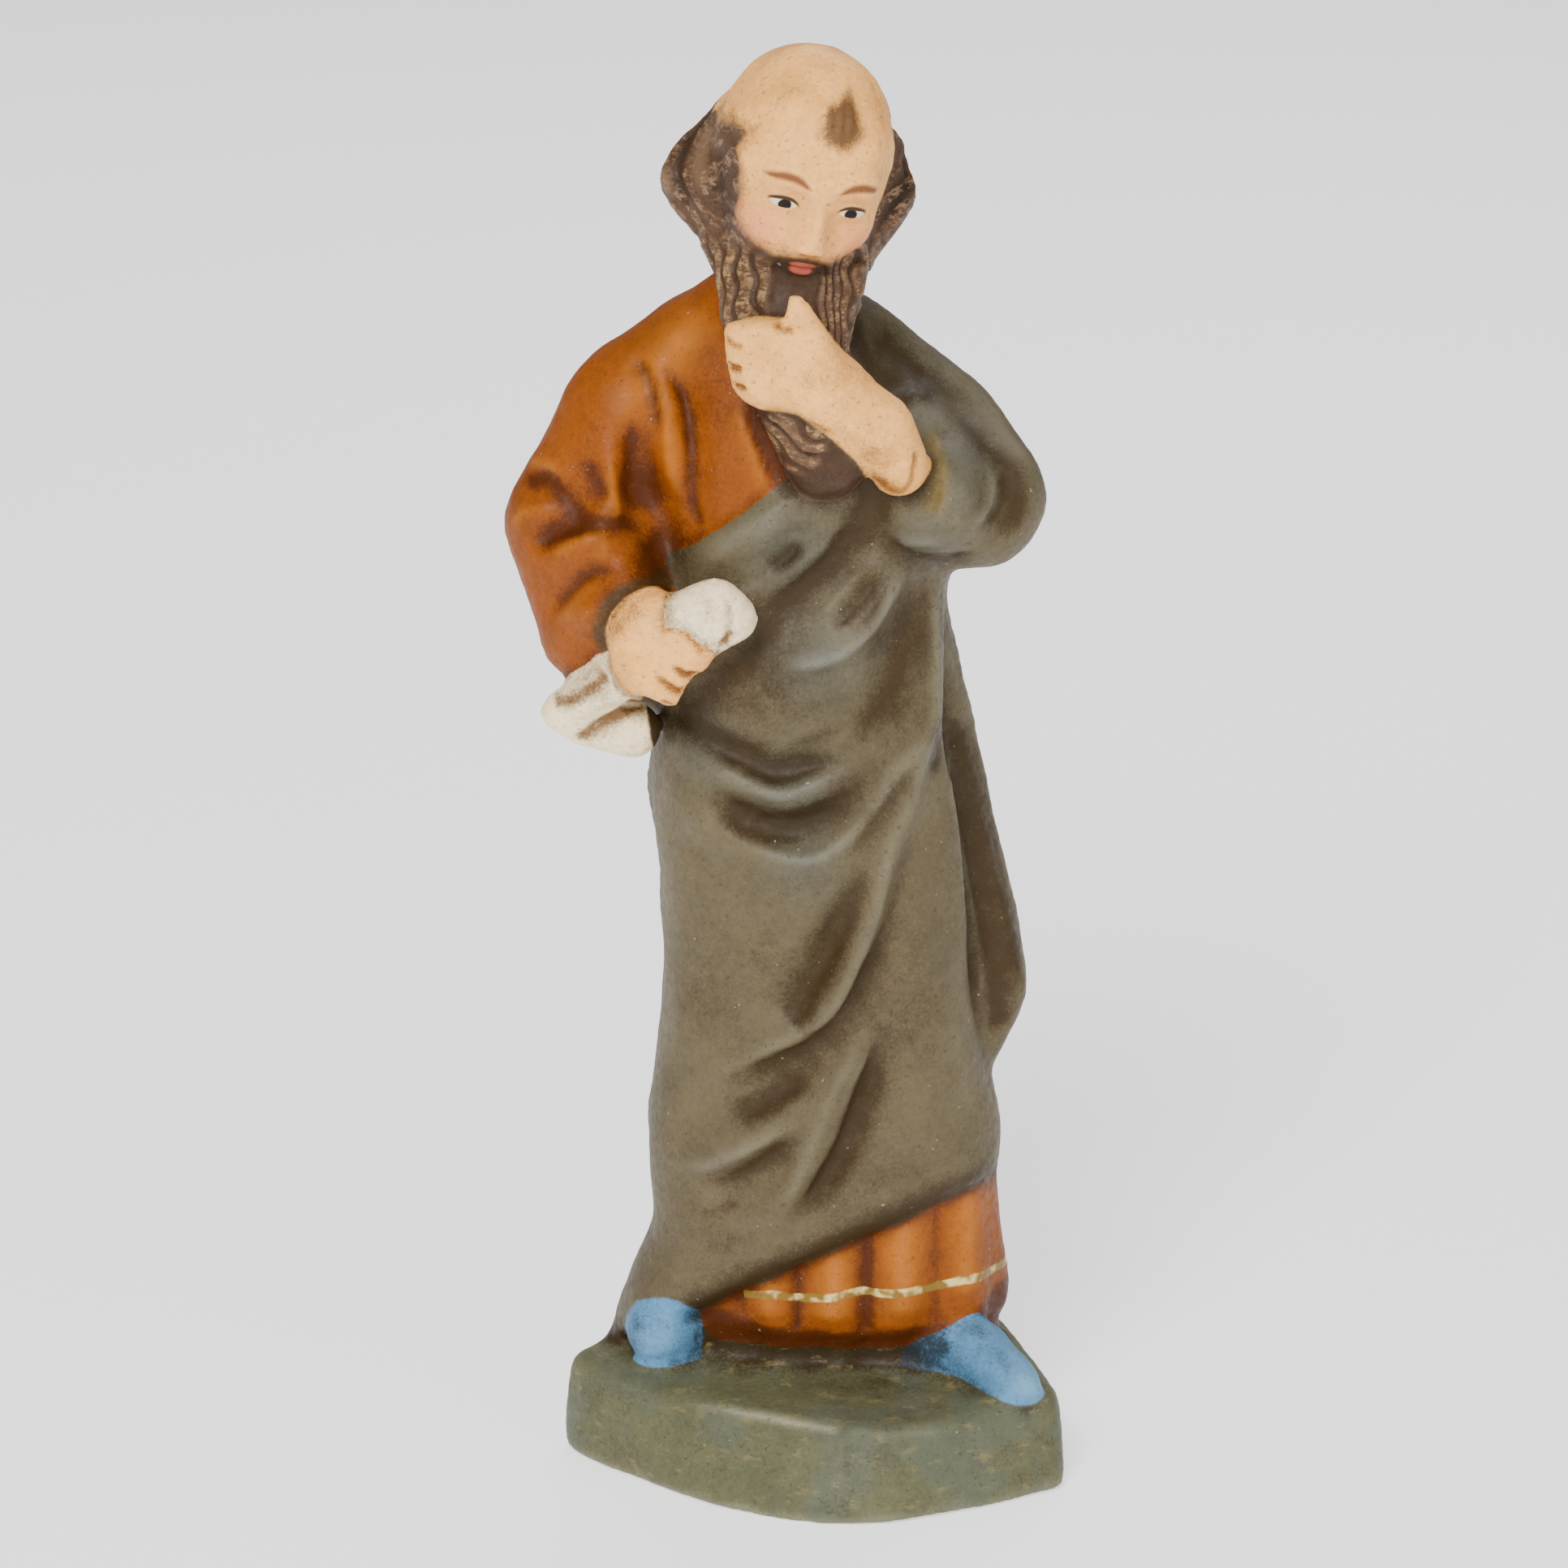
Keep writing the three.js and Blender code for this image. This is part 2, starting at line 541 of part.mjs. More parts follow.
// Fills the nearest outside corner of each cell that the surface crosses more than once.
function settle({ values, count, stride }) {
  const offsetOf = (c) => AXES.reduce((sum, bit, a) => sum + (c & bit ? stride[a] : 0), 0);
  const offsets = [...Array(8).keys()].map(offsetOf);
  const plain = [...Array(256).keys()].map(isPlain);
  for (let changed = true; changed; ) {
    changed = false;
    for (let k = 0; k < count[2] - 1; k++) {
      for (let j = 0; j < count[1] - 1; j++) {
        for (let i = 0; i < count[0] - 1; i++) {
          const at = i + j * stride[1] + k * stride[2];
          let mask = 0;
          for (let c = 0; c < 8; c++) if (values[at + offsets[c]] < 0) mask |= 1 << c;
          if (mask === 0 || mask === 255 || plain[mask]) continue;
          const outside = offsets.filter((o) => values[at + o] >= 0);
          const nearest = outside.reduce((a, b) => (values[at + a] < values[at + b] ? a : b));
          values[at + nearest] = -1e-3;
          changed = true;
        }
      }
    }
  }
  return offsets;
}

// One vertex in each cell that the surface crosses, and a square across each crossed grid line.
function netOf(grid) {
  const { values, count, origin, stride, step } = grid;
  const offsets = settle(grid);
  const vertexAt = new Int32Array(values.length).fill(-1);
  const positions = [];
  const triangles = [];
  for (let k = 0; k < count[2] - 1; k++) {
    for (let j = 0; j < count[1] - 1; j++) {
      for (let i = 0; i < count[0] - 1; i++) {
        const at = i + j * stride[1] + k * stride[2];
        const sum = [0, 0, 0];
        let crossings = 0;
        for (let c = 0; c < 8; c++) {
          for (let a = 0; a < 3; a++) {
            if (c & AXES[a]) continue;
            const v0 = values[at + offsets[c]];
            const v1 = values[at + offsets[c | AXES[a]]];
            if (v0 < 0 === v1 < 0) continue;
            for (let b = 0; b < 3; b++) sum[b] += b === a ? v0 / (v0 - v1) : Number((c & AXES[b]) > 0);
            crossings++;
          }
        }
        if (!crossings) continue;
        vertexAt[at] = positions.length / 3;
        const cell = [i, j, k];
        for (let b = 0; b < 3; b++) positions.push(origin[b] + (cell[b] + sum[b] / crossings) * step);
        if (k === 0) positions[positions.length - 1] = 0;
      }
    }
  }
  for (let k = 1; k < count[2] - 1; k++) {
    for (let j = 1; j < count[1] - 1; j++) {
      for (let i = 1; i < count[0] - 1; i++) {
        const at = i + j * stride[1] + k * stride[2];
        addSquares(at, values, stride, vertexAt, positions, triangles);
      }
    }
  }
  for (let j = 1; j < count[1] - 1; j++) {
    for (let i = 1; i < count[0] - 1; i++) {
      addSquares(i + j * stride[1], values, stride, vertexAt, positions, triangles, [2]);
    }
  }
  return { positions: Float64Array.from(positions), triangles: Int32Array.from(triangles) };
}

// The squares across the grid lines that start at one grid point, each cut along its short diagonal.
function addSquares(at, values, stride, vertexAt, positions, triangles, axes = [0, 1, 2]) {
  for (const a of axes) {
    const inside = values[at] < 0;
    if (inside === values[at + stride[a]] < 0) continue;
    const [s, t] = [stride[(a + 1) % 3], stride[(a + 2) % 3]];
    const ring = [at, at - s, at - s - t, at - t].map((cell) => vertexAt[cell]);
    if (!inside) ring.reverse();
    const across = (p, q) => Math.hypot(...[0, 1, 2].map((b) => positions[3 * p + b] - positions[3 * q + b]));
    const [p, q, r, u] = ring;
    if (across(p, r) < across(q, u)) triangles.push(p, q, r, p, r, u);
    else triangles.push(p, q, u, q, r, u);
  }
}

// Normals of the vertices, weighted by the areas of the triangles.
function normalsOf({ positions, triangles }) {
  const geometry = new THREE.BufferGeometry();
  geometry.setAttribute('position', new THREE.BufferAttribute(Float32Array.from(positions), 3));
  geometry.setIndex(new THREE.BufferAttribute(Uint32Array.from(triangles), 1));
  geometry.computeVertexNormals();
  return geometry.attributes.normal.array;
}

// A fold as a function of the place and the normal that gives how far the surface moves out.
function foldOf({ on = 'front', height, width, points }) {
  const radius = 12; // of the body, so that degrees around it become millimetres
  const toMm = on === 'around' ? degToRad(1) * radius : 1;
  const curve = new THREE.CatmullRomCurve3(points.map(([a, z]) => new THREE.Vector3(a * toMm, z, 0)));
  const pieces = 8 * (points.length - 1);
  const path = curve.getPoints(pieces);
  const box = new THREE.Box3().setFromPoints(path).expandByScalar(2.5 * width);
  return (x, y, z, nx, ny) => {
    let facing = on === 'back' ? ny : -ny;
    let u = x;
    if (on === 'around') {
      const angle = Math.atan2(x, BODY_AXIS - y);
      facing = nx * Math.sin(angle) - ny * Math.cos(angle);
      u = angle * radius;
    }
    if (facing < 0.05 || u < box.min.x || u > box.max.x || z < box.min.y || z > box.max.y) return 0;
    let [nearest, along] = [Infinity, 0];
    for (let i = 0; i < pieces; i++) {
      const [a, b] = [path[i], path[i + 1]];
      const [ex, ez] = [b.x - a.x, b.y - a.y];
      const t = clamp(((u - a.x) * ex + (z - a.y) * ez) / (ex * ex + ez * ez), 0, 1);
      const distance = Math.hypot(u - a.x - t * ex, z - a.y - t * ez);
      if (distance < nearest) [nearest, along] = [distance, (i + t) / pieces];
    }
    const taper = smoothstep(Math.min(along, 1 - along), -0.05, 0.3);
    return height * taper * Math.exp(-((nearest / width) ** 2)) * smoothstep(facing, 0.05, 0.4);
  };
}

// Moves each vertex out along its normal by the folds that pass there.
function carve(surface, folds) {
  const normals = normalsOf(surface);
  const { positions } = surface;
  const moves = folds.map(foldOf);
  for (let i = 0; i < positions.length; i += 3) {
    const [x, y, z] = positions.subarray(i, i + 3);
    const [nx, ny, nz] = normals.subarray(i, i + 3);
    if (z <= 0) continue;
    let out = 0;
    for (const move of moves) out += move(x, y, z, nx, ny);
    positions[i] += out * nx;
    positions[i + 1] += out * ny;
    positions[i + 2] += out * nz;
  }
  return surface;
}

// Fewer triangles

// The squared distances to a set of planes, as the ten sums of a symmetric 4 by 4 matrix.
function addPlane(sums, at, [a, b, c, d], weight) {
  const products = [a * a, a * b, a * c, a * d, b * b, b * c, b * d, c * c, c * d, d * d];
  for (let i = 0; i < 10; i++) sums[at + i] += weight * products[i];
}

function costOf(q, [x, y, z]) {
  return (
    q[0] * x * x + 2 * q[1] * x * y + 2 * q[2] * x * z + 2 * q[3] * x +
    q[4] * y * y + 2 * q[5] * y * z + 2 * q[6] * y + q[7] * z * z + 2 * q[8] * z + q[9]
  );
}

// The point that is nearest to all the planes, or null where it isn't well defined.
function lowestPoint(q) {
  const m = new THREE.Matrix3().set(q[0], q[1], q[2], q[1], q[4], q[5], q[2], q[5], q[7]);
  const scale = q[0] + q[4] + q[7];
  if (Math.abs(m.determinant()) < 1e-3 * scale ** 3) return null;
  return new THREE.Vector3(-q[3], -q[6], -q[8]).applyMatrix3(m.invert()).toArray();
}

// Edges waiting to be collapsed, the cheapest first.
class Queue {
  items = [];

  push(item) {
    const { items } = this;
    let i = items.push(item) - 1;
    while (i > 0) {
      const parent = (i - 1) >> 1;
      if (items[parent].cost <= item.cost) break;
      items[i] = items[parent];
      i = parent;
    }
    items[i] = item;
  }

  pop() {
    const { items } = this;
    const first = items[0];
    const last = items.pop();
    const count = items.length;
    if (!count) return first;
    let i = 0;
    for (let child = 1; child < count; child = 2 * i + 1) {
      if (child + 1 < count && items[child + 1].cost < items[child].cost) child++;
      if (items[child].cost >= last.cost) break;
      items[i] = items[child];
      i = child;
    }
    items[i] = last;
    return first;
  }
}

// Collapses the edges that matter least, until the target is met. Head and hands count for more.
function simplify({ positions, triangles }, target, importance) {
  const cornersOf = (_, f) => [...triangles.subarray(3 * f, 3 * f + 3)];
  const faces = Array.from({ length: triangles.length / 3 }, cornersOf);
  const around = Array.from({ length: positions.length / 3 }, () => new Set());
  const sums = new Float64Array((positions.length / 3) * 10);
  const version = new Int32Array(positions.length / 3);
  const pointOf = (v) => [positions[3 * v], positions[3 * v + 1], positions[3 * v + 2]];
  const crossOf = (p, q, r) => {
    const [ax, ay, az] = [q[0] - p[0], q[1] - p[1], q[2] - p[2]];
    const [bx, by, bz] = [r[0] - p[0], r[1] - p[1], r[2] - p[2]];
    return [ay * bz - az * by, az * bx - ax * bz, ax * by - ay * bx];
  };
  faces.forEach((face, f) => {
    const [p, q, r] = face.map(pointOf);
    const n = crossOf(p, q, r);
    const size = Math.hypot(...n) || 1e-12;
    const unit = n.map((c) => c / size);
    const plane = [...unit, -(unit[0] * p[0] + unit[1] * p[1] + unit[2] * p[2])];
    for (const v of face) {
      around[v].add(f);
      addPlane(sums, 10 * v, plane, (size / 6) * importance(...p));
    }
  });
  const neighbours = (v) => {
    const found = new Set();
    for (const f of around[v]) for (const u of faces[f]) if (u !== v) found.add(u);
    return found;
  };
  const queue = new Queue();
  const offer = (a, b) => {
    const q = Array.from({ length: 10 }, (_, i) => sums[10 * a + i] + sums[10 * b + i]);
    const [pa, pb] = [pointOf(a), pointOf(b)];
    const middle = pa.map((c, i) => (c + pb[i]) / 2);
    const best = lowestPoint(q);
    const length = Math.hypot(...pa.map((c, i) => c - pb[i]));
    const near = best && Math.hypot(...best.map((c, i) => c - middle[i])) < length;
    const choices = near ? [best] : [pa, pb, middle];
    if (pa[2] === 0 || pb[2] === 0) choices.forEach((c) => (c[2] = 0));
    const costs = choices.map((c) => costOf(q, c));
    const cost = Math.min(...costs);
    const point = choices[costs.indexOf(cost)];
    queue.push({ cost: Math.max(cost, 0) + 1e-5 * length, a, b, point, stamp: version[a] + version[b] });
  };
  const keepsShape = (v, other, point) => {
    for (const f of around[v]) {
      if (faces[f].includes(other)) continue;
      const before = faces[f].map(pointOf);
      const after = faces[f].map((u) => (u === v ? point : pointOf(u)));
      const [m, n] = [crossOf(...before), crossOf(...after)];
      const [sizeM, sizeN] = [Math.hypot(...m), Math.hypot(...n)];
      if (m[0] * n[0] + m[1] * n[1] + m[2] * n[2] < 0.3 * sizeM * sizeN) return false;
      const sides = after.map((p, i) => Math.hypot(...p.map((c, k) => c - after[(i + 1) % 3][k])));
      if (sizeN < 0.12 * Math.max(...sides) ** 2) return false;
    }
    return true;
  };
  faces.forEach((face) => {
    for (let i = 0; i < 3; i++) if (face[i] < face[(i + 1) % 3]) offer(face[i], face[(i + 1) % 3]);
  });
  let left = faces.length;
  while (left > target && queue.items.length) {
    const { a, b, point, stamp } = queue.pop();
    if (stamp !== version[a] + version[b] || !around[a].size || !around[b].size) continue;
    const [ringA, ringB] = [neighbours(a), neighbours(b)];
    if ([...ringA].filter((v) => ringB.has(v)).length !== 2) continue;
    if (!keepsShape(a, b, point) || !keepsShape(b, a, point)) continue;
    for (const f of [...around[b]]) {
      if (faces[f].includes(a)) {
        for (const v of faces[f]) around[v].delete(f);
        faces[f] = null;
        left--;
      } else {
        faces[f] = faces[f].map((v) => (v === b ? a : v));
        around[a].add(f);
      }
    }
    around[b].clear();
    for (let i = 0; i < 3; i++) positions[3 * a + i] = point[i];
    for (let i = 0; i < 10; i++) sums[10 * a + i] += sums[10 * b + i];
    version[b]++;
    version[a]++;
    for (const v of neighbours(a)) version[v]++;
    for (const v of neighbours(a)) {
      offer(a, v);
      for (const u of neighbours(v)) if (u !== a && (u > v || !neighbours(a).has(u))) offer(v, u);
    }
  }
  return compact(positions, faces.filter(Boolean));
}

// The vertices still in use, and the triangles between them.
function compact(positions, faces) {
  const places = new Map();
  const kept = [];
  const triangles = faces.flat().map((v) => {
    if (!places.has(v)) {
      places.set(v, places.size);
      kept.push(positions[3 * v], positions[3 * v + 1], positions[3 * v + 2]);
    }
    return places.get(v);
  });
  return { positions: kept, triangles };
}

// How much the shape counts at a place: most at the head and the hands, least at the back.
function importance(x, y, z) {
  const head = z > 97;
  const hands = y < -7 && z > 62;
  if (head || hands) return 4;
  if (z < 2.5) return 1.5;
  return y > 8 ? 0.7 : 1.1;
}

const fine = carve(netOf(sample(figure(), FIGURE, SURFACE_STEP)), FOLDS);
const surface = simplify(fine, TRIANGLES, importance);

const geometry = new THREE.BufferGeometry();
geometry.setAttribute('position', new THREE.Float32BufferAttribute(surface.positions, 3));
geometry.setIndex(surface.triangles);
geometry.computeVertexNormals();
const mesh = new THREE.Mesh(geometry, new THREE.MeshStandardMaterial(PAINT));
mesh.name = 'nativity_figure';

const group = new THREE.Group();
group.add(mesh);
export default group;
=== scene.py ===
"""Looks of the nativity figure: cast plaster, carved drapery and hair, and hand-painted colours.

The frame is in metres, +Z up, and the figure faces -Y. Left and right are as seen from the front.
Lengths in the tables of folds and forms are in millimetres.
"""

import math

import bpy
import numpy as np
from mathutils import Matrix, Vector


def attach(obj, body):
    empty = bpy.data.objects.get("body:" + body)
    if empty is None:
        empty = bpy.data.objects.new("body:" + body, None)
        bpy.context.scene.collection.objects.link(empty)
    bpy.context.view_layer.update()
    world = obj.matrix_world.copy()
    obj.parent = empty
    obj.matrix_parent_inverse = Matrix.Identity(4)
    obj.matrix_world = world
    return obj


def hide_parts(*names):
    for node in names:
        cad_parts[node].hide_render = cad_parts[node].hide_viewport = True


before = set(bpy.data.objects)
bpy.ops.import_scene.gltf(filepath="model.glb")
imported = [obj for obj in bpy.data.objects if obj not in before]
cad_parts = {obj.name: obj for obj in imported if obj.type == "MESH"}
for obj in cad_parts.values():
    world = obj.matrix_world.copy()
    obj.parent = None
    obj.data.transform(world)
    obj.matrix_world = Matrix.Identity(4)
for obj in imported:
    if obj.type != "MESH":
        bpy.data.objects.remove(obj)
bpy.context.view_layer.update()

MM = 0.001
CAST_GRAIN = 0.5 * MM  # spacing of the evened casting's vertices
MERGE_GAP = 0.001 * MM
BODY_AXIS = 4.0  # mm behind the origin
WRAP_RADIUS = 12.0  # mm, turns degrees round the body into lengths

# A brush stroke: how much wider than its core its halo is, how many such widths it reaches, and how
# far the surface has to face it before it acts at all and in full
HALO_SPREAD = 2.0
STROKE_REACH = 2.2
GRAZING, SQUARE_ON = 0.02, 0.3

# Relaxing passes: over the fresh casting, and to leave the small and the broad forms of the carved one
SOFTENING, SMALL_FORMS, BROAD_FORMS = 3, 6, 36

# Heights in millimetres
UNDERSIDE = 0.2  # nothing is carved below it
FOOT_EDGE = 1.2  # the casting is softened in full from here up
ROUGH_FROM = 1.5  # and is uneven in full from here up
CHIN = 99
NECK = 100
NAPE = 106
CROWN = 118

# The head's pose, as in the part's source
HEAD_CENTRE = (-0.9, -3.0, 111.2)
HEAD_NOD, HEAD_TURN, HEAD_TILT = 16, 14, 12


def smoothstep(x, low, high):
    """0 at low and 1 at high, with an easy start and end."""
    t = np.clip((x - low) / (high - low), 0, 1)
    return t * t * (3 - 2 * t)


def bell(distance, width):
    """1 at no distance, and little beyond the width."""
    return np.exp(-((distance / width) ** 2))


# Forms of the figure, used to tell its painted regions apart


def limb(p, a, b, ra, rb):
    """Signed distance to a rounded limb from a to b."""
    a, b = np.array(a, float), np.array(b, float)
    d = b - a
    t = np.clip((p - a) @ d / (d @ d), 0, 1)
    return np.linalg.norm(p - a - t[:, None] * d, axis=1) - (ra + (rb - ra) * t)


def limbs(p, *stations):
    """Signed distance to a limb through several stations, each x, y, z and radius."""
    pairs = zip(stations, stations[1:])
    return np.minimum.reduce([limb(p, a[:3], b[:3], a[3], b[3]) for a, b in pairs])


def egg(p, centre, radii, turn=0):
    """Signed distance to an ellipsoid, turned by degrees about the Y axis."""
    q = (p - np.array(centre)) @ np.array(Matrix.Rotation(math.radians(turn), 3, "Y"))
    r = np.array(radii, float)
    near = np.linalg.norm(q / r, axis=1)
    return near * (near - 1) / np.maximum(np.linalg.norm(q / r**2, axis=1), 1e-9)


def column(p, stations, squareness=2.4):
    """Signed distance to an upright oval body. Each station is z, centre x and y, half width and depth."""
    s = np.array(stations, float)
    z = p[:, 2]
    cx, cy, hw, hd = (np.interp(z, s[:, 0], s[:, k]) for k in range(1, 5))
    dx, dy = np.abs(p[:, 0] - cx), np.abs(p[:, 1] - cy)
    q = ((dx / hw) ** squareness + (dy / hd) ** squareness) ** (1 / squareness)
    q = np.maximum(q, 1e-6)
    return np.maximum(np.hypot(dx, dy) * (q - 1) / q, np.maximum(z - s[-1, 0], s[0, 0] - z))


def plinth_form(p):
    top = p[:, 2] - 7.2 - 0.07 * (p[:, 1] + 14)
    return np.minimum(top, egg(p, (1.4, 7.5, 5), (17.6, 11, 4.8)))


def shoe_form(p):
    left = limbs(p, (-12.2, 7, 9.8, 3), (-11.3, 2.4, 10.6, 2.9), (-12.9, 0.5, 11.1, 2.8))
    right = limbs(
        p, (7.6, 0.4, 9.6, 1.6), (11.6, -0.4, 10, 2.3), (13.8, -1.8, 10.2, 2.5), (17.1, -6.2, 8.7, 2)
    )
    return np.minimum(left, right)


def robe_form(p):
    skirt = column(
        p,
        [
            (7, 2.4, 6, 12.6, 7),
            (11, 2.4, 6, 13, 7.8),
            (12.4, 2.4, 6, 13.9, 9),
            (14, 2.3, 6, 13.9, 9.1),
            (20, 1.8, 5.6, 13.7, 9),
            (30, 1.2, 5, 13, 8.6),
        ],
    )
    chest = column(
        p,
        [
            (64, -1.4, 3.4, 10.6, 8.2),
            (78, -1.2, 3, 11, 8.8),
            (86, -1.6, 2.8, 11.4, 8.8),
            (93, -2, 3, 9.5, 7.6),
            (98, -2.4, 2.6, 6, 5.8),
            (102.5, -2, 1.4, 4.4, 4.8),
        ],
    )
    sleeve = limbs(
        p,
        (-4.4, 3.4, 96.6, 4.8),
        (-9.6, 3.3, 93.4, 4.9),
        (-14.4, 3.2, 88.8, 5.8),
        (-18.8, 2.2, 79.8, 6.1),
        (-18.2, -0.8, 71.6, 4.1),
    )
    cuff = limb(p, (-17.6, 0.4, 79), (-15.6, -4, 75), 5, 4)
    return np.minimum.reduce([skirt, chest, sleeve, cuff])


def above_hem(p):
    """Height above the cloak's hem."""
    x, y, z = p.T
    return z - (19.3 + 0.47 * x - 0.32 * (y + 4))


def cloak_form(p):
    x, y, z = p.T
    wrap = column(
        p,
        [
            (7, 0.4, 6, 18, 9.6),
            (14, 0.2, 5.4, 15.8, 9.8),
            (20, 1, 5, 14.4, 10),
            (28, 0.9, 4.6, 14.7, 10.2),
            (35, 0.65, 4.4, 13.6, 10.2),
            (42, 0.6, 4.2, 13, 10.2),
            (50, 0.1, 4, 12.9, 10.4),
            (58, -0.8, 3.8, 12.5, 10.6),
            (66, -1.4, 3.4, 11.7, 10.6),
            (74, -1.1, 3, 11.8, 10.2),
            (82, -0.6, 2.8, 12, 9.9),
            (92, -0.4, 3, 11, 8.6),
        ],
    )
    edge = 87.4 + 0.88 * x + 0.25 * (y + 6)
    wrapped = np.maximum.reduce([wrap, -above_hem(p), z - edge])
    shoulder = limbs(
        p, (2.6, 4.4, 94.1, 4.5), (9.6, 3.4, 86.7, 5.7), (12.8, 1, 82.5, 5.7), (9.4, -3.4, 83.2, 5)
    )
    back = limb(p, (3, 6, 88), (6, 6, 76), 6, 5)
    hanging = limbs(p, (8, 5.9, 76, 3.7), (10.5, 5.9, 58, 3.7), (13.6, 5.9, 40, 3.7))
    return np.minimum.reduce([wrapped, shoulder, back, hanging])


def hand_form(p):
    """The bare forearm and both hands."""
    arm = limbs(
        p, (6.8, -7.8, 87, 2.4), (4.9, -8.9, 90.4, 2.8), (1.5, -10, 93.5, 2.9), (-0.6, -10.2, 95.3, 2.9)
    )
    palm = egg(p, (-2.2, -10, 95.6), (3.9, 2.2, 3.4))
    thumb = limbs(
        p, (0.2, -10.4, 97, 1.6), (-0.5, -10.9, 98.6, 1.3), (-1.3, -11, 100.4, 1), (-1.7, -11, 101.4, 0.85)
    )
    raised = [
        limb(p, (x, -9.8, z), (x + 4, -10.8, z - 0.1), r, r + 0.1)
        for x, z, r in ((-6.2, 98.2, 1.35), (-6.1, 96.3, 1.15), (-5.8, 94.7, 1.1), (-5.3, 93.5, 1.05))
    ]
    fist = egg(p, (-13.2, -8.2, 72.6), (3, 2.7, 4.5), 12)
    wrist = limb(p, (-14.8, -5.4, 74.2), (-13.2, -7.4, 73.6), 2.7, 3)
    closed = [
        limb(p, knuckle, tip, r + 0.1, r)
        for knuckle, tip, r in (
            ((-11.3, -10, 73.2), (-9.2, -10.5, 71.8), 1.2),
            ((-12.4, -9.9, 71.4), (-10.7, -10.3, 70.1), 1),
            ((-13.4, -9.5, 70), (-11.4, -9.9, 68.5), 1.05),
        )
    ]
    return np.minimum.reduce([arm, palm, thumb, *raised, fist, wrist, *closed])


def scroll_form(p):
    return np.minimum.reduce(
        [
            limb(p, (-20.4, -3.6, 65.7), (-13, -8, 71.2), 1.9, 2),
            limb(p, (-18.7, -3, 64.4), (-14.8, -3.6, 64.3), 1.8, 2.6),
            limb(p, (-12, -8.4, 74.2), (-7.8, -9.2, 76.5), 1.9, 2),
            limb(p, (-10.4, -8.6, 72.8), (-6.4, -9.2, 74.9), 1.9, 2.1),
        ]
    )


def head_matrix():
    """From the head's own frame, upright and in millimetres, to the figure's."""
    return (
        Matrix.Translation(HEAD_CENTRE)
        @ Matrix.Rotation(math.radians(HEAD_TILT), 4, "Y")
        @ Matrix.Rotation(math.radians(HEAD_TURN), 4, "Z")
        @ Matrix.Rotation(math.radians(HEAD_NOD), 4, "X")
    )


def in_head(p):
    """Places in the head's own frame."""
    m = np.array(head_matrix().inverted())
    return p @ m[:3, :3].T + m[:3, 3]


def face_form(p):
    q = in_head(p)
    return np.minimum.reduce(
        [
            egg(q, (0, 0.6, 0.4), (7.1, 8.4, 8.4)),
            egg(q, (0, -2.6, -4), (5.5, 5, 5.7)),
            limb(q, (-3, -6.3, 1.5), (3, -6.3, 1.5), 1.3, 1.3),
            limb(q, (0, -7.3, 0.6), (0, -8.8, -3.2), 0.7, 0.95),
            egg(q, (-3.4, -5.4, -2.9), (1.9, 1.8, 1.8)),
            egg(q, (3.4, -5.4, -2.9), (1.9, 1.8, 1.8)),
        ]
    )


def hair_form(p):
    left = limbs(
        p, (-5.8, 1, 113.4, 2.6), (-8.4, 0.4, 108.6, 3.6), (-6, -1.4, 104, 2.6), (-4.6, -4.4, 100.6, 2.6)
    )
    right = limbs(
        p, (4.6, 1.6, 110.4, 2.8), (4.7, 1.2, 107.2, 3.1), (2.4, 0, 103.2, 2.5), (0.4, -4.6, 100.4, 2.6)
    )
    return np.minimum.reduce(
        [
            left,
            right,
            egg(p, (-1.8, 3.6, 106.4), (8, 4.6, 6.8)),
            limb(p, (-6.2, -2.4, 105.8), (-5.2, -5.2, 100.6), 1.2, 2.2),
            limb(p, (3.4, -2.4, 105.4), (1.8, -5.4, 100.6), 1.1, 2),
            egg(p, (-2.1, -5, 99), (5.3, 4.2, 4.6)),
            limb(p, (-1.4, -7, 94.4), (0.8, -7.6, 87.6), 4.3, 3.2),
        ]
    )


FORMS = {
    "plinth": plinth_form,
    "shoe": shoe_form,
    "robe": robe_form,
    "cloak": cloak_form,
    "hand": hand_form,
    "scroll": scroll_form,
    "face": face_form,
    "hair": hair_form,
}


# Folds, carved, and painted with shade in the creases and highlight on the ridges


def fold(*points, rise=0.0, glaze_and_shade=0.0, light=0.0, wide=(0.6, 0.6), fade=(0.3, 0.3), halo=0.5, on="front"):
    """A line that the surface rises or sinks along, with a dark glaze that is partly painted shade, or a
    light dry brush that is partly a painted highlight.

    The points are x and z. Round the body, they are degrees from the front and z. The two widths are
    those to the left and the right of the line as it runs, and the two fades are shares of its length.
    The halo is the share of the stroke that spreads softly beyond its widths.
    """
    return {
        "points": points, "rise": rise, "glaze_and_shade": glaze_and_shade, "light": light, "wide": wide, "fade": fade,
        "halo": halo, "on": on,
    }


def crease(*points, deep=0.35, glaze_and_shade=1.0, **options):
    """A sunk fold with a dark glaze in it, partly painted shade."""
    return fold(*points, rise=-deep, glaze_and_shade=glaze_and_shade, **options)


def ridge(*points, high=0.3, light=0.7, halo=0.35, **options):
    """A raised fold with a light dry brush on it, partly a painted highlight."""
    return fold(*points, rise=high, light=light, halo=halo, **options)


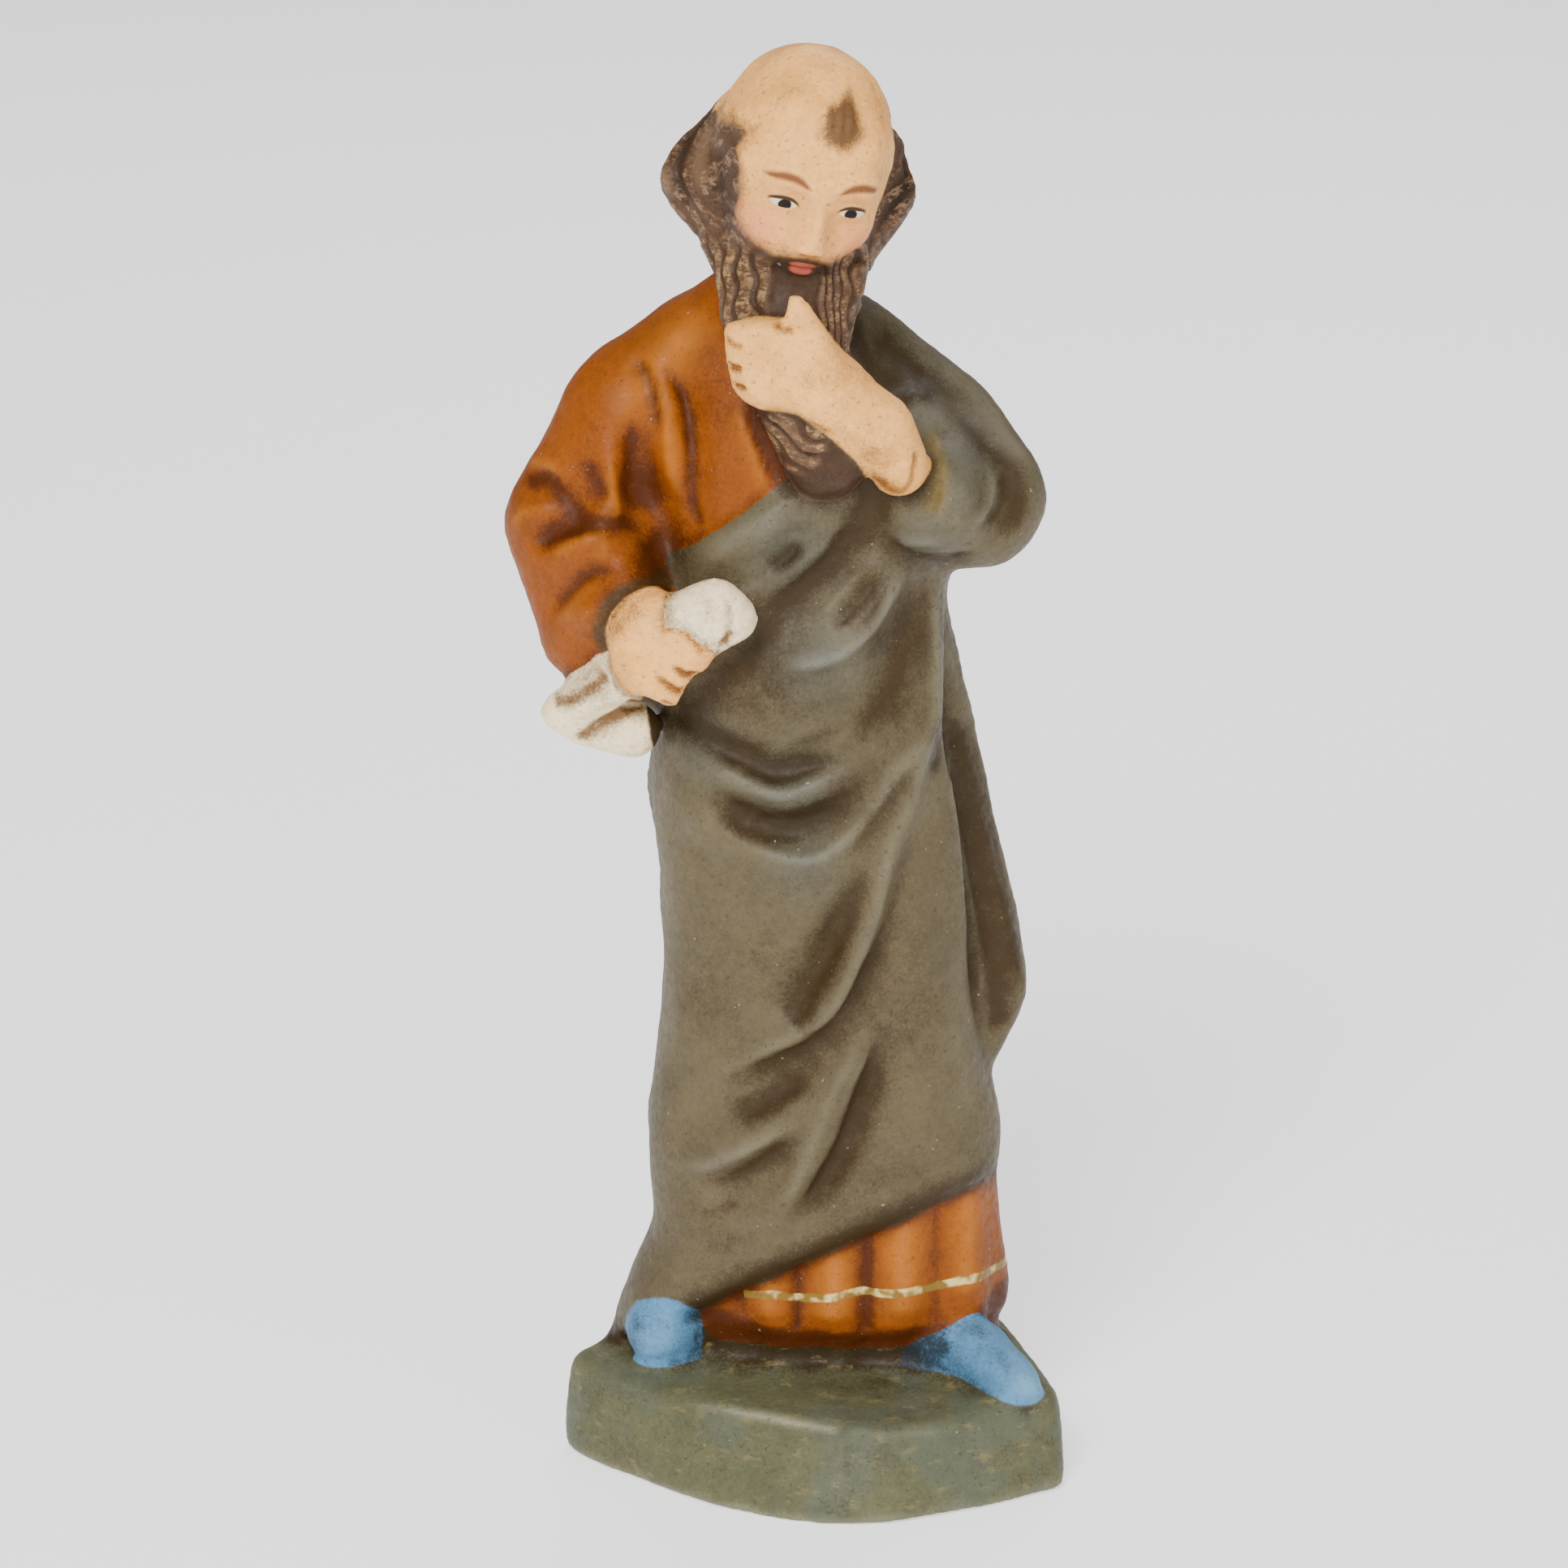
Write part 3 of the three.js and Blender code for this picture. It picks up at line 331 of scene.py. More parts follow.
SLEEVE_FOLDS = [
    crease(
        (-14.8, 94.8), (-13.9, 93.9), (-13.2, 93), (-12.7, 91.5), (-12.4, 89.4), (-12.2, 87.9), glaze_and_shade=0.8,
        wide=(0.3, 0.7),
    ),
    ridge(
        (-13.9, 94.7), (-13.1, 93.9), (-12.4, 92), (-11.9, 89.5), (-11.5, 86.5), (-10.9, 84.1),
        (-10.2, 82.3),
    ),
    crease(
        (-12.7, 94.6), (-11.5, 93.1), (-10.4, 91.3), (-9.9, 89.1), (-9.7, 86.8), (-9.7, 84.5), (-9.6, 82.7),
        (-8.8, 81.1), deep=0.4, glaze_and_shade=1.4, wide=(0.22, 0.5), fade=(0.3, 0.1), halo=0.3,
    ),
    ridge(
        (-12.4, 94), (-11.3, 91.6), (-10.9, 88.6), (-10.7, 85.6), (-10.3, 83), high=0.15, light=0.5,
        wide=(0.4, 0.4),
    ),
    crease((-13.6, 88), (-13.3, 85), (-13, 81.4), deep=0.15, glaze_and_shade=1.1, wide=(0.9, 1.2), fade=(0.6, 0.2)),
    crease((-12, 82), (-11.6, 79.6), (-12, 77.4), deep=0, glaze_and_shade=0.7, wide=(1.3, 1.3)),
    crease(
        (-14.7, 90.6), (-14.7, 88.4), (-14.7, 86.2), (-14.6, 83.7), (-14, 81.4), glaze_and_shade=0.9,
        wide=(0.75, 0.55),
    ),
    ridge(
        (-16.5, 87.4), (-16.3, 85.7), (-16.1, 84), (-15.8, 82.4), (-17.2, 82.2), (-18.6, 82.3),
        wide=(0.35, 0.35),
    ),
    crease(
        (-18.1, 86.9), (-17.8, 85.5), (-17.2, 84.2), (-16.6, 83.1), deep=0.3, glaze_and_shade=1.3, wide=(0.4, 0.7),
    ),
    crease(
        (-23.4, 83.4), (-22.7, 84.2), (-21.5, 84.5), (-20.5, 83.9), (-19.5, 82.8), (-18.4, 81.9),
        (-16.8, 81.7), (-15.2, 81.5), (-13.4, 80.6), deep=0.35, glaze_and_shade=1.3, wide=(0.4, 0.6), fade=(0.1, 0.1),
        halo=0.4,
    ),
    crease(
        (-22.2, 79), (-21.8, 79.8), (-21, 80.5), (-19.9, 81), (-18.6, 81.6), deep=0.5, glaze_and_shade=1.4,
        wide=(0.55, 0.5), fade=(0.2, 0.05), halo=0.4,
    ),
    ridge(
        (-22.4, 78.6), (-20.6, 79.2), (-19.2, 80.2), (-17.9, 80.6), (-17.2, 79.8), high=0.15,
        wide=(0.35, 0.35),
    ),
    crease(
        (-13.6, 81.2), (-12.8, 78.9), (-12.5, 77.7), (-12.8, 76.4), deep=0.2, glaze_and_shade=1.2, wide=(0.6, 1.4),
    ),
    crease(
        (-21.4, 72.8), (-20.1, 75.3), (-18.6, 77.1), (-16.9, 78.1), (-14.8, 78), glaze_and_shade=0.8,
        wide=(0.6, 0.35),
    ),
    ridge((-20.9, 72.5), (-19.6, 74.8), (-18, 76.6), (-16.3, 77.4), high=0.2, light=0.5),
    ridge((-6.5, 91.6), (-6, 90.8), (-5.4, 89.1), (-4.5, 87.1), (-3.8, 85), (-3.4, 83.7), wide=(0.25, 0.7)),
    # Painted shade in the dark strip between the robe's edge and the beard
    crease(
        (-5.4, 93.4), (-4.8, 90), (-3.9, 87.4), (-2.8, 85.4), (-1.6, 84), deep=0.3, glaze_and_shade=2.4,
        wide=(1.9, 0.3), fade=(0.02, 0.1), halo=0.3,
    ),
    crease((-8.6, 98), (-8.2, 94.6), (-7.4, 91), (-6.4, 87), deep=0, glaze_and_shade=0.5, wide=(1.4, 1.4)),
    crease((-13.2, 97.8), (-10.6, 98.2), (-8, 99), deep=0, glaze_and_shade=0.25, wide=(1, 1)),
    ridge((-23.6, 84.6), (-22.9, 85.2), (-21.2, 85.4), (-20, 84.6), high=0.15, light=0.8, wide=(0.35, 0.3)),
    ridge((-24.2, 79.4), (-23.8, 81.2), (-22.8, 82), (-21.2, 82.2), high=0.1, light=0.8, wide=(0.3, 0.3)),
    ridge((-17.8, 84), (-17, 81.2), (-16.9, 79.2), (-18.6, 79.3), high=0.1, light=0.6, wide=(0.35, 0.3)),
]

CHEST_FOLDS = [
    ridge(
        (-0.8, 85.4), (-2.8, 83.3), (-6, 81.3), (-8.4, 79.6), (-10.8, 77.8), high=0.2, light=0.55,
        wide=(0.8, 0.8),
    ),
    crease((-1, 80.7), (-2.3, 79.3), (-4.1, 78.2), deep=0.4, glaze_and_shade=1.2, wide=(0.55, 0.5)),
    crease(
        (2.8, 81.6), (1.6, 79.4), (0.3, 78.1), (-1.5, 76.5), (-3.3, 75.2), (-4.6, 73.8), deep=0.45,
        glaze_and_shade=1.2, wide=(1, 0.8), fade=(0.05, 0.3),
    ),
    ridge(
        (1.8, 83.7), (1.6, 81.6), (-0.2, 79.5), (-2.8, 77.9), (-4.4, 76.8), high=0.2, light=0.5,
        wide=(0.4, 0.5),
    ),
    ridge((4.7, 79.3), (3.4, 77.7), (1.6, 75.7), (0, 73.6), high=0.25, light=0.5, wide=(0.35, 0.35)),
    crease((5.5, 78.6), (4.2, 76.6), (2.6, 74.8), (1.6, 73.2), wide=(0.45, 0.45)),
    ridge(
        (6.9, 78.8), (6.7, 77.8), (5.3, 74.6), (3.3, 72.4), (1, 71.1), (-1.9, 70.6), (-4.9, 69.8),
        high=0.35, light=0.9, wide=(0.5, 1),
    ),
    crease(
        (8, 79), (7.8, 76), (7.5, 71.8), (6.7, 69), (5.6, 66.8), (3.9, 65), (1.6, 63), deep=0.3,
        wide=(1, 1.2),
    ),
    crease(
        (-3.5, 77), (-3.7, 73.7), (-5.2, 71.3), (-7.4, 69.2), (-9.2, 67), (-11.2, 65.6), deep=0.1,
        wide=(1.6, 1), fade=(0.15, 0.05),
    ),
    crease((8.8, 78), (9, 74.7), (9.1, 71.9), (9.2, 67), deep=0.15, glaze_and_shade=0.8, wide=(0.3, 0.7)),
    crease((10.4, 76.5), (10.4, 73), (10.5, 69), deep=0.15, glaze_and_shade=0.8, wide=(0.6, 0.3)),
]

SWAG_FOLDS = [
    crease(
        (-11.9, 65.4), (-8.8, 63.8), (-6.2, 62.5), (-3.6, 61.3), (-1.3, 61.6), (1.6, 62.7), (4, 64.2),
        deep=0.4, glaze_and_shade=1.3, wide=(1.2, 0.5), fade=(0.05, 0.35),
    ),
    crease((-2.2, 63.5), (0.1, 64.4), (2.4, 65.4), deep=0.2, glaze_and_shade=0.6, wide=(0.4, 0.4)),
    ridge(
        (-11.7, 64), (-8.3, 61.9), (-5.7, 60.7), (-3.1, 59.8), (-0.8, 60.2), (1.6, 61.3), (4.4, 63),
        high=0.35, light=0.85, wide=(0.6, 0.35),
    ),
    crease(
        (-9.6, 60.2), (-7.4, 58.4), (-5.1, 57), (-2.5, 56.5), (0.4, 57.7), (3.9, 60.5), (6.8, 63.2),
        deep=0.45, glaze_and_shade=1.25, wide=(1.3, 0.9),
    ),
    ridge(
        (-9.1, 58.3), (-6, 55.8), (-3.6, 54.7), (-0.7, 54.1), (1.6, 54.9), (3.9, 57), (6.2, 60.2),
        (7.9, 62.3), (9.4, 63.9), (9.9, 65.9), (9.8, 71.4), (9.6, 76.6), light=0.8, wide=(0.5, 0.3),
        fade=(0.2, 0.05),
    ),
    crease((8.2, 62.5), (6.5, 59.9), (4.5, 57), (2.4, 53.6), deep=0.15, glaze_and_shade=0.8, wide=(0.9, 0.5)),
    ridge(
        (9.4, 64.2), (8.2, 60.1), (7.4, 57.9), (6.2, 55.1), (5.1, 50.4), (3.8, 46.3), (2.5, 43.2),
        (1.2, 41.1), (-0.8, 39.6), (-3.5, 38), (-6.8, 35.9), (-8.5, 34.5), light=0.6, wide=(0.45, 0.5),
        fade=(0.03, 0.2),
    ),
    crease(
        (4.4, 54.2), (3.8, 52.7), (2.2, 48.7), (0.5, 44.7), (-1.1, 41.3), (-2.1, 40.2), glaze_and_shade=1.2,
        wide=(0.9, 1), fade=(0.4, 0.05),
    ),
    crease(
        (6.9, 52.1), (5.8, 48.4), (4.1, 44.4), (2.8, 41.9), (1.3, 39.8), (-0.8, 38.1), (-3.5, 36.8),
        (-6.8, 34.9), (-8.5, 33.8), deep=0.4, glaze_and_shade=1.1, wide=(1.2, 0.3),
    ),
    ridge((-2.5, 35.1), (-4.5, 34.1), (-6.8, 33.1), high=0.15, light=0.5, wide=(0.25, 0.25)),
    crease((1.3, 37.2), (-2.1, 34.2), (-5.1, 32.3), (-8.1, 31), deep=0.3, wide=(0.9, 0.9)),
    ridge((0.2, 32.6), (-3.5, 30.3), (-6.8, 28.2), (-9.2, 27), (-12.4, 26.4), light=0.75, wide=(0.6, 0.7)),
    crease((-0.3, 31.2), (-3.5, 28.4), (-5.8, 26.5), (-9.5, 24.6), deep=0.3, wide=(0.6, 0.8)),
    ridge(
        (5.2, 40.9), (3.2, 37.4), (1.2, 33.3), (-0.1, 29.6), (-1.5, 26.1), (-2.6, 22.2), light=0.55,
        wide=(0.4, 0.6),
    ),
    crease(
        (5.7, 40.4), (4.5, 36.5), (3.2, 32.5), (1.7, 28.5), (-0.1, 25.4), (-2.5, 21.6), deep=0.4, glaze_and_shade=1.3,
        wide=(1.4, 0.3),
    ),
    crease((-9.9, 22.5), (-7.5, 23.3), (-5.5, 24.4), deep=0.15, glaze_and_shade=0.55, wide=(0.35, 0.45)),
    crease((-9.2, 19.5), (-7.2, 20.5), (-5.5, 21.6), deep=0.12, glaze_and_shade=0.5, wide=(0.35, 0.45)),
    ridge(
        (10, 65.1), (11, 60.3), (11.2, 57.7), (12, 53.4), (13, 47.5), (13.8, 41.6), (14.3, 36.4), high=0.25,
        light=0.8, wide=(0.25, 0.25), fade=(0.15, 0.15), halo=0.1,
    ),
    crease((10.3, 66), (10.1, 62.1), (9.7, 59.4), deep=0.2, wide=(0.4, 0.6)),
    crease(
        (11, 63.8), (11.7, 60.1), (12.1, 56.4), (12.9, 52.2), (13.9, 47.2), (14.7, 41.6), (15, 36),
        deep=0.4, glaze_and_shade=1.4, wide=(1.1, 0.3), fade=(0.1, 0.05),
    ),
    crease((12.2, 63), (13.6, 56), (15.2, 49), (16.4, 43), (16.6, 38), deep=0, glaze_and_shade=0.8, wide=(1.4, 1.2)),
    ridge((16.3, 46.5), (15.7, 43.8), (14.6, 42.1), high=0.2, light=0.7, wide=(0.25, 0.25)),
    ridge((15.7, 30), (15.5, 27), (13.3, 25), (11.3, 24.4), high=0.1, light=0.8, wide=(0.35, 0.35)),
]

# Broad patches on the flats of the cloak and the sleeve: dark glaze that is partly painted shade, and light
# paint that is painted light on the shoulders and down the flanks
BROAD_SHADE_AND_LIGHT = [
    ridge((-12.3, 62), (-12.6, 50), (-12.8, 40), (-13.6, 30), high=0, light=0.5, wide=(1.6, 1.6)),
    ridge((7, 94), (9.5, 91), (13, 89), (16.4, 86.5), (18.8, 82), high=0, light=0.8, wide=(2, 2)),
    ridge((-7.5, 99), (-10, 96.5), (-13.5, 92.5), (-16.5, 87), high=0, light=0.7, wide=(1.8, 1.8)),
    crease((3.4, 80.4), (4.6, 76.6), (4.6, 72.4), (3.4, 69), deep=0, glaze_and_shade=0.7, wide=(1.1, 1.1)),
    crease((-1, 70.6), (-4, 68), (-7.4, 66), deep=0, glaze_and_shade=0.5, wide=(1.4, 1.4)),
    crease((7.8, 52), (7.8, 45.6), (7.2, 40.5), (6.5, 33), deep=0, glaze_and_shade=0.3, wide=(2.4, 2)),
    ridge((11.4, 50), (11.8, 42), (12.2, 34), (12, 28), high=0, light=0.35, wide=(1.6, 1)),
    crease((5.4, 61.6), (7.6, 66.8), (8.4, 72), deep=0, glaze_and_shade=0.4, wide=(1.5, 1.5)),
    crease((-9.4, 52), (-9.4, 44), (-9, 36), deep=0, glaze_and_shade=0.2, wide=(1.8, 2.4)),
    crease((-3.6, 51), (-4.6, 45), (-6, 40), deep=0, glaze_and_shade=0.2, wide=(1.6, 1.6)),
    crease((3, 24.6), (7, 26.4), (11, 27.4), deep=0, glaze_and_shade=0.3, wide=(1.4, 1)),
    crease((-3.8, 67.4), (-1, 66.6), (2, 67.6), deep=0, glaze_and_shade=0.3, wide=(1, 1)),
]

SHOULDER_FOLDS = [
    crease(
        (3.7, 97.1), (5.8, 95), (7.9, 93), (10, 91.3), (12.1, 89.4), (13.9, 87.7), (15.4, 85.9),
        (16.2, 83.9), (16.2, 82.4), (15.2, 80.9), (13.1, 79.4), deep=0.4, glaze_and_shade=1.1, wide=(0.9, 0.8),
        fade=(0.1, 0.15),
    ),
    ridge(
        (4.7, 94.6), (7.1, 92.7), (9.2, 91.4), (11.3, 89.5), (13.1, 87.7), (14.4, 86.6), high=0.25,
        light=0.45, wide=(0.7, 0.7),
    ),
    crease(
        (14.7, 86.6), (15.4, 84.9), (15.2, 83.2), (14.1, 81.9), (12.5, 80.8), deep=0.3, glaze_and_shade=0.9,
        wide=(0.35, 0.35),
    ),
    ridge(
        (13.1, 86.8), (14.1, 85.3), (14.1, 83.5), (13, 82.2), (12, 81.2), high=0.25, light=0.75,
        wide=(0.25, 0.3),
    ),
    crease((12.6, 86.2), (13.4, 84.8), (13.3, 83.6), (12.2, 82.4), deep=0.15, glaze_and_shade=0.5, wide=(0.3, 0.3)),
    ridge((5.8, 81.3), (7.3, 80.6), (9.4, 80.8), (11.5, 80.1), high=0.2, light=0.7, wide=(0.6, 0.4)),
    crease(
        (4.8, 82.5), (5.8, 80.7), (7.6, 79.3), (9.9, 78.7), (12, 78.9), (14.2, 79.3), glaze_and_shade=1.1,
        wide=(0.5, 0.7),
    ),
    crease((4.2, 84.9), (4.7, 83), (5, 81.4), deep=0.1, glaze_and_shade=1.2, wide=(0.5, 0.9)),
    crease(
        (3.4, 88.6), (4.2, 86), (4.8, 83.9), (3.9, 81.6), (2.8, 79.8), deep=0.2, glaze_and_shade=1.4, wide=(1, 1.2),
        fade=(0.05, 0.2),
    ),
    crease(
        (2.9, 98.2), (3.7, 95.6), (5, 93.6), (7, 92), (8.4, 90.4), deep=0.2, glaze_and_shade=1.2, wide=(0.6, 0.6),
        fade=(0.05, 0.2),
    ),
    ridge(
        (8.3, 90.8), (9.3, 88.9), (10, 87.3), (10.5, 85.6), (10.4, 84.3), (9.8, 82.8), (8.6, 81.8),
        high=0.2, light=0.7, wide=(0.25, 0.25),
    ),
]

# The inside of the cloak's sleeve that shows round the arm
SLEEVE_MOUTH = fold((8.6, 90), (9.4, 87.9), (9.9, 85.9), (9.4, 83.8), (7.6, 82.4), wide=(0.6, 0.75))

# The inside of the other cuff, round the fist
CUFF_LINING = fold(
    (-16.2, 70.4), (-16.9, 73.6), (-16.3, 75.3), (-14.7, 76.5), (-12.7, 76.8), (-10.6, 76.5),
    wide=(0.8, 0.6), fade=(0.1, 0.1), halo=0.2,
)

# The skirt's pleats, with painted shade in their creases and painted highlight on the crests between them
PLEAT_FOLDS = [
    crease(
        (-1.2, 20), (-1.2, 15), (-1.3, 12.2), deep=0.35, glaze_and_shade=1.1, wide=(0.35, 0.5), fade=(0.1, 0.02),
        halo=0.3,
    ),
    crease(
        (4.6, 23), (4.5, 16), (4.4, 12), deep=0.45, glaze_and_shade=1.2, wide=(0.4, 0.7), fade=(0.05, 0.02), halo=0.3,
    ),
    crease((10.2, 23.6), (10.2, 16), (10.1, 12.4), deep=0.2, glaze_and_shade=0.5, wide=(0.35, 0.5), fade=(0.1, 0.05)),
    crease((-6, 16), (-5.8, 12.8), deep=0.15, glaze_and_shade=0.6, wide=(0.3, 0.4), fade=(0.1, 0.02)),
    ridge((-3.6, 18.4), (-3.6, 13.2), high=0.15, light=0.75, wide=(1.1, 1.1), fade=(0.1, 0.1)),
    ridge((1.7, 20.6), (1.6, 13), high=0.15, light=0.8, wide=(1.5, 1.5), fade=(0.1, 0.1)),
    ridge((7.3, 23), (7.3, 13.2), high=0.15, light=0.8, wide=(1.5, 1.5), fade=(0.1, 0.1)),
    ridge((12.6, 25), (12.8, 14.4), high=0.1, light=0.75, wide=(1.3, 1.3), fade=(0.1, 0.1)),
]

# Light paint along the plinth's top edges, partly scuffs and partly a painted highlight, and painted shade
# beside its front corner with a painted highlight on the corner
PLINTH_FOLDS = [
    ridge((-12, 7), (-9, 7.1), (-3, 7.1), (2.4, 7), high=0, light=1.1, wide=(0.2, 0.22), fade=(0.6, 0.05)),
    ridge((2.5, 7), (8, 6.8), (13, 6.6), high=0, light=0.5, wide=(0.3, 0.3), fade=(0.05, 0.4)),
    crease((2.9, 6.4), (2.8, 3.5), (2.7, 0.4), deep=0, glaze_and_shade=0.35, wide=(0.2, 1.4), fade=(0.05, 0.05)),
    ridge((2.2, 6.4), (2.1, 3.5), (2.1, 0.8), high=0, light=0.35, wide=(0.4, 0.4), fade=(0.1, 0.1)),
]

# Painted shade on both sides of the left shoe, at the right shoe's ankle under the robe, and along the
# right shoe's top
SHOE_FOLDS = [
    crease((-9, 15), (-8.8, 11.5), (-9.2, 9), deep=0, glaze_and_shade=0.9, wide=(0.8, 1.1), fade=(0.02, 0.1)),
    crease(
        (5.6, 10.6), (8.4, 10.6), (10.4, 12.8), deep=0, glaze_and_shade=2.4, wide=(1.1, 1.5), fade=(0.02, 0.2),
        halo=0.3,
    ),
    crease((-14.6, 13), (-15, 11.4), (-14.6, 9.6), deep=0, glaze_and_shade=0.5, wide=(0.8, 0.8), fade=(0.1, 0.1)),
    crease((12.6, 13), (15, 11), (17.6, 9), deep=0, glaze_and_shade=0.4, wide=(0.5, 0.3), fade=(0.1, 0.3)),
]

# The wreath of hair beside and behind the bare crown, with painted shade in its grooves and a painted
# highlight along its outer edge
HAIR_FOLDS = [
    crease(
        (-6.4, 116.7), (-8.6, 113.9), (-10.2, 112), (-11, 110), (-10.6, 107.8), (-9.3, 105.5), deep=0.35,
        glaze_and_shade=0.8, wide=(0.45, 0.6), fade=(0.3, 0.2),
    ),
    crease((-6.4, 112.6), (-7.4, 110.4), (-7.6, 108), (-6.8, 105.6), deep=0.15, glaze_and_shade=0.5, wide=(0.7, 0.9)),
    ridge(
        (-7.4, 116.2), (-10.3, 113.8), (-12, 111), (-11.6, 108.4), (-9.8, 105.8), light=0.8,
        wide=(0.4, 0.4),
    ),
    ridge((-6.6, 114.6), (-8.4, 112.4), (-9.2, 110), (-8.6, 107.4), high=0.15, light=0.6, wide=(0.7, 0.7)),
    crease((7.6, 112.2), (8, 109.6), (6.8, 107), (4.8, 105), deep=0.4, wide=(0.5, 0.7)),
    ridge((8.7, 111.4), (8.6, 108.8), (7.2, 106.4), light=0.6, wide=(0.35, 0.35)),
]

SIDE_FOLDS = [
    crease((84, 76), (81, 60), (80, 46), (82, 34), glaze_and_shade=0.9, wide=(0.9, 0.9), on="around"),
    ridge((102, 74), (102, 56), (100, 40), high=0.2, light=0.5, wide=(0.8, 0.8), on="around"),
    crease((120, 84), (117, 62), (114, 36), (112, 22), glaze_and_shade=0.9, wide=(1, 1), on="around"),
    ridge((-92, 62), (-114, 50), (-136, 34), high=0.2, light=0.5, wide=(0.8, 0.8), on="around"),
    crease((-88, 54), (-110, 42), (-130, 26), glaze_and_shade=0.9, wide=(1, 1), on="around"),
    crease((5, 94), (0, 85), (-7, 76), glaze_and_shade=0.9, wide=(1, 0.8), on="back"),
    crease((8, 88), (3, 74), (-6, 63), glaze_and_shade=0.9, wide=(1, 0.8), on="back"),
    ridge((9, 80), (4, 66), (-3, 52), (-9, 43), light=0.5, wide=(0.9, 0.9), on="back"),
    crease((9, 72), (6, 56), (0, 40), (-7, 27), glaze_and_shade=0.9, wide=(1.1, 1), on="back"),
    crease((10, 52), (8, 38), (4, 24), (2, 17), glaze_and_shade=0.9, wide=(1, 1), on="back"),
    crease((-9, 91), (-12, 86), (-14, 80), glaze_and_shade=0.8, wide=(0.8, 0.8), on="back"),
]

# The creases between fingers, and the edges of the hands, with painted shade in them
HAND_FOLDS = [
    crease((-7.4, 98), (-6.4, 97.5), (-5.4, 97.4), deep=0.3, glaze_and_shade=0.8, wide=(0.3, 0.2), fade=(0.02, 0.3)),
    crease(
        (-7.2, 95.8), (-6.4, 95.7), (-5.6, 95.7), deep=0.45, glaze_and_shade=1.8, wide=(0.18, 0.18), fade=(0.02, 0.3),
    ),
    crease(
        (-6.8, 94.2), (-6, 94.05), (-5.3, 94.1), deep=0.45, glaze_and_shade=1.6, wide=(0.18, 0.18), fade=(0.02, 0.3),
    ),
    crease((-3.4, 99.5), (-2.4, 99), (-1.6, 99.2), deep=0.1, wide=(0.2, 0.3), fade=(0.2, 0.2)),
    crease((-3.6, 92.1), (-1.6, 91.8), (0.4, 90.9), (2.4, 90), deep=0.1, glaze_and_shade=0.8, wide=(0.3, 0.3)),
    crease((4.2, 87.6), (5.2, 86.2), (6.6, 85.4), (7.8, 85.6), deep=0, glaze_and_shade=0.9, wide=(0.5, 0.4)),
    crease(
        (8, 89.4), (7.9, 87.6), (7.6, 86.2), (7, 85.2), deep=0.2, glaze_and_shade=1.1, wide=(0.18, 0.18),
        fade=(0.2, 0.1),
    ),
    crease((3, 90), (5, 88.4), (6.4, 87), deep=0, glaze_and_shade=0.5, wide=(1, 1)),
    crease((-16.2, 72), (-16, 74), (-14.8, 75.6), (-12.6, 76), deep=0, glaze_and_shade=0.6, wide=(0.6, 0.6)),
    crease(
        (-11.6, 71.7), (-10.5, 70.9), (-9.8, 70.7), (-8, 70.5), deep=0.4, glaze_and_shade=1.7, wide=(0.18, 0.2),
        fade=(0.25, 0.02),
    ),
    crease(
        (-13, 71), (-11.6, 69.8), (-10.8, 69.3), (-9.6, 69.2), deep=0.4, glaze_and_shade=1.7, wide=(0.18, 0.2),
        fade=(0.25, 0.02),
    ),
    crease((-12.4, 68.6), (-11.8, 68.2), (-10.9, 67.7), deep=0.2, glaze_and_shade=0.9, wide=(0.2, 0.2)),
    crease((-10.9, 75.6), (-9.8, 74), (-9.2, 72.9), (-8.2, 72.1), deep=0.1, glaze_and_shade=0.7, wide=(0.3, 0.25)),
]

# Creases of the scroll with painted shade in them
SCROLL_FOLDS = [
    crease(
        (-19.4, 63.3), (-18, 64.6), (-17.1, 65.3), (-15.7, 66.1), (-14.2, 67), deep=0.5, glaze_and_shade=1.2,
        wide=(0.3, 0.55), fade=(0.1, 0.02),
    ),
    crease(
        (-21.2, 67), (-19.6, 67.4), (-18, 68.6), (-16.6, 70), deep=0.1, wide=(0.5, 0.5), fade=(0.1, 0.02),
    ),
    crease((-14.6, 67.4), (-13.6, 66.6), (-12.8, 66), deep=0, glaze_and_shade=0.9),
    crease(
        (-6.6, 74.4), (-6.9, 73.7), (-7.4, 72.8), deep=0.4, glaze_and_shade=1.3, wide=(0.22, 0.3), fade=(0.1, 0.1),
    ),
    crease((-7, 76.9), (-6.6, 75.8), (-6.8, 74.8), (-7.8, 74.4), deep=0.25, glaze_and_shade=0.6, wide=(0.22, 0.3)),
    crease((-8.8, 77.4), (-8.4, 76.2), (-9, 75), deep=0.15, glaze_and_shade=0.45, wide=(0.25, 0.3)),
]

# Each list of folds, and the region it is kept to
FOLDS = [
    ("cloth", SLEEVE_FOLDS + CHEST_FOLDS + SWAG_FOLDS + BROAD_SHADE_AND_LIGHT + SHOULDER_FOLDS + SIDE_FOLDS),
    ("robe", PLEAT_FOLDS),
    ("plinth", PLINTH_FOLDS),
    ("shoe", SHOE_FOLDS),
    ("skin", HAND_FOLDS),
    ("scroll", SCROLL_FOLDS),
    ("hair", HAIR_FOLDS),
]


def smooth_path(points, steps=8):
    """A Catmull-Rom line through the points."""
    p = np.array(points, float)
    p = np.vstack([2 * p[0] - p[1], p, 2 * p[-1] - p[-2]])
    t = np.linspace(0, 1, steps, endpoint=False)[:, None]
    pieces = []
    for a, b, c, d in zip(p, p[1:], p[2:], p[3:]):
        bend = (2 * a - 5 * b + 4 * c - d) * t**2 + (3 * b - a - 3 * c + d) * t**3
        pieces.append(0.5 * (2 * b + (c - a) * t + bend))
    return np.vstack([*pieces, p[-2][None]])


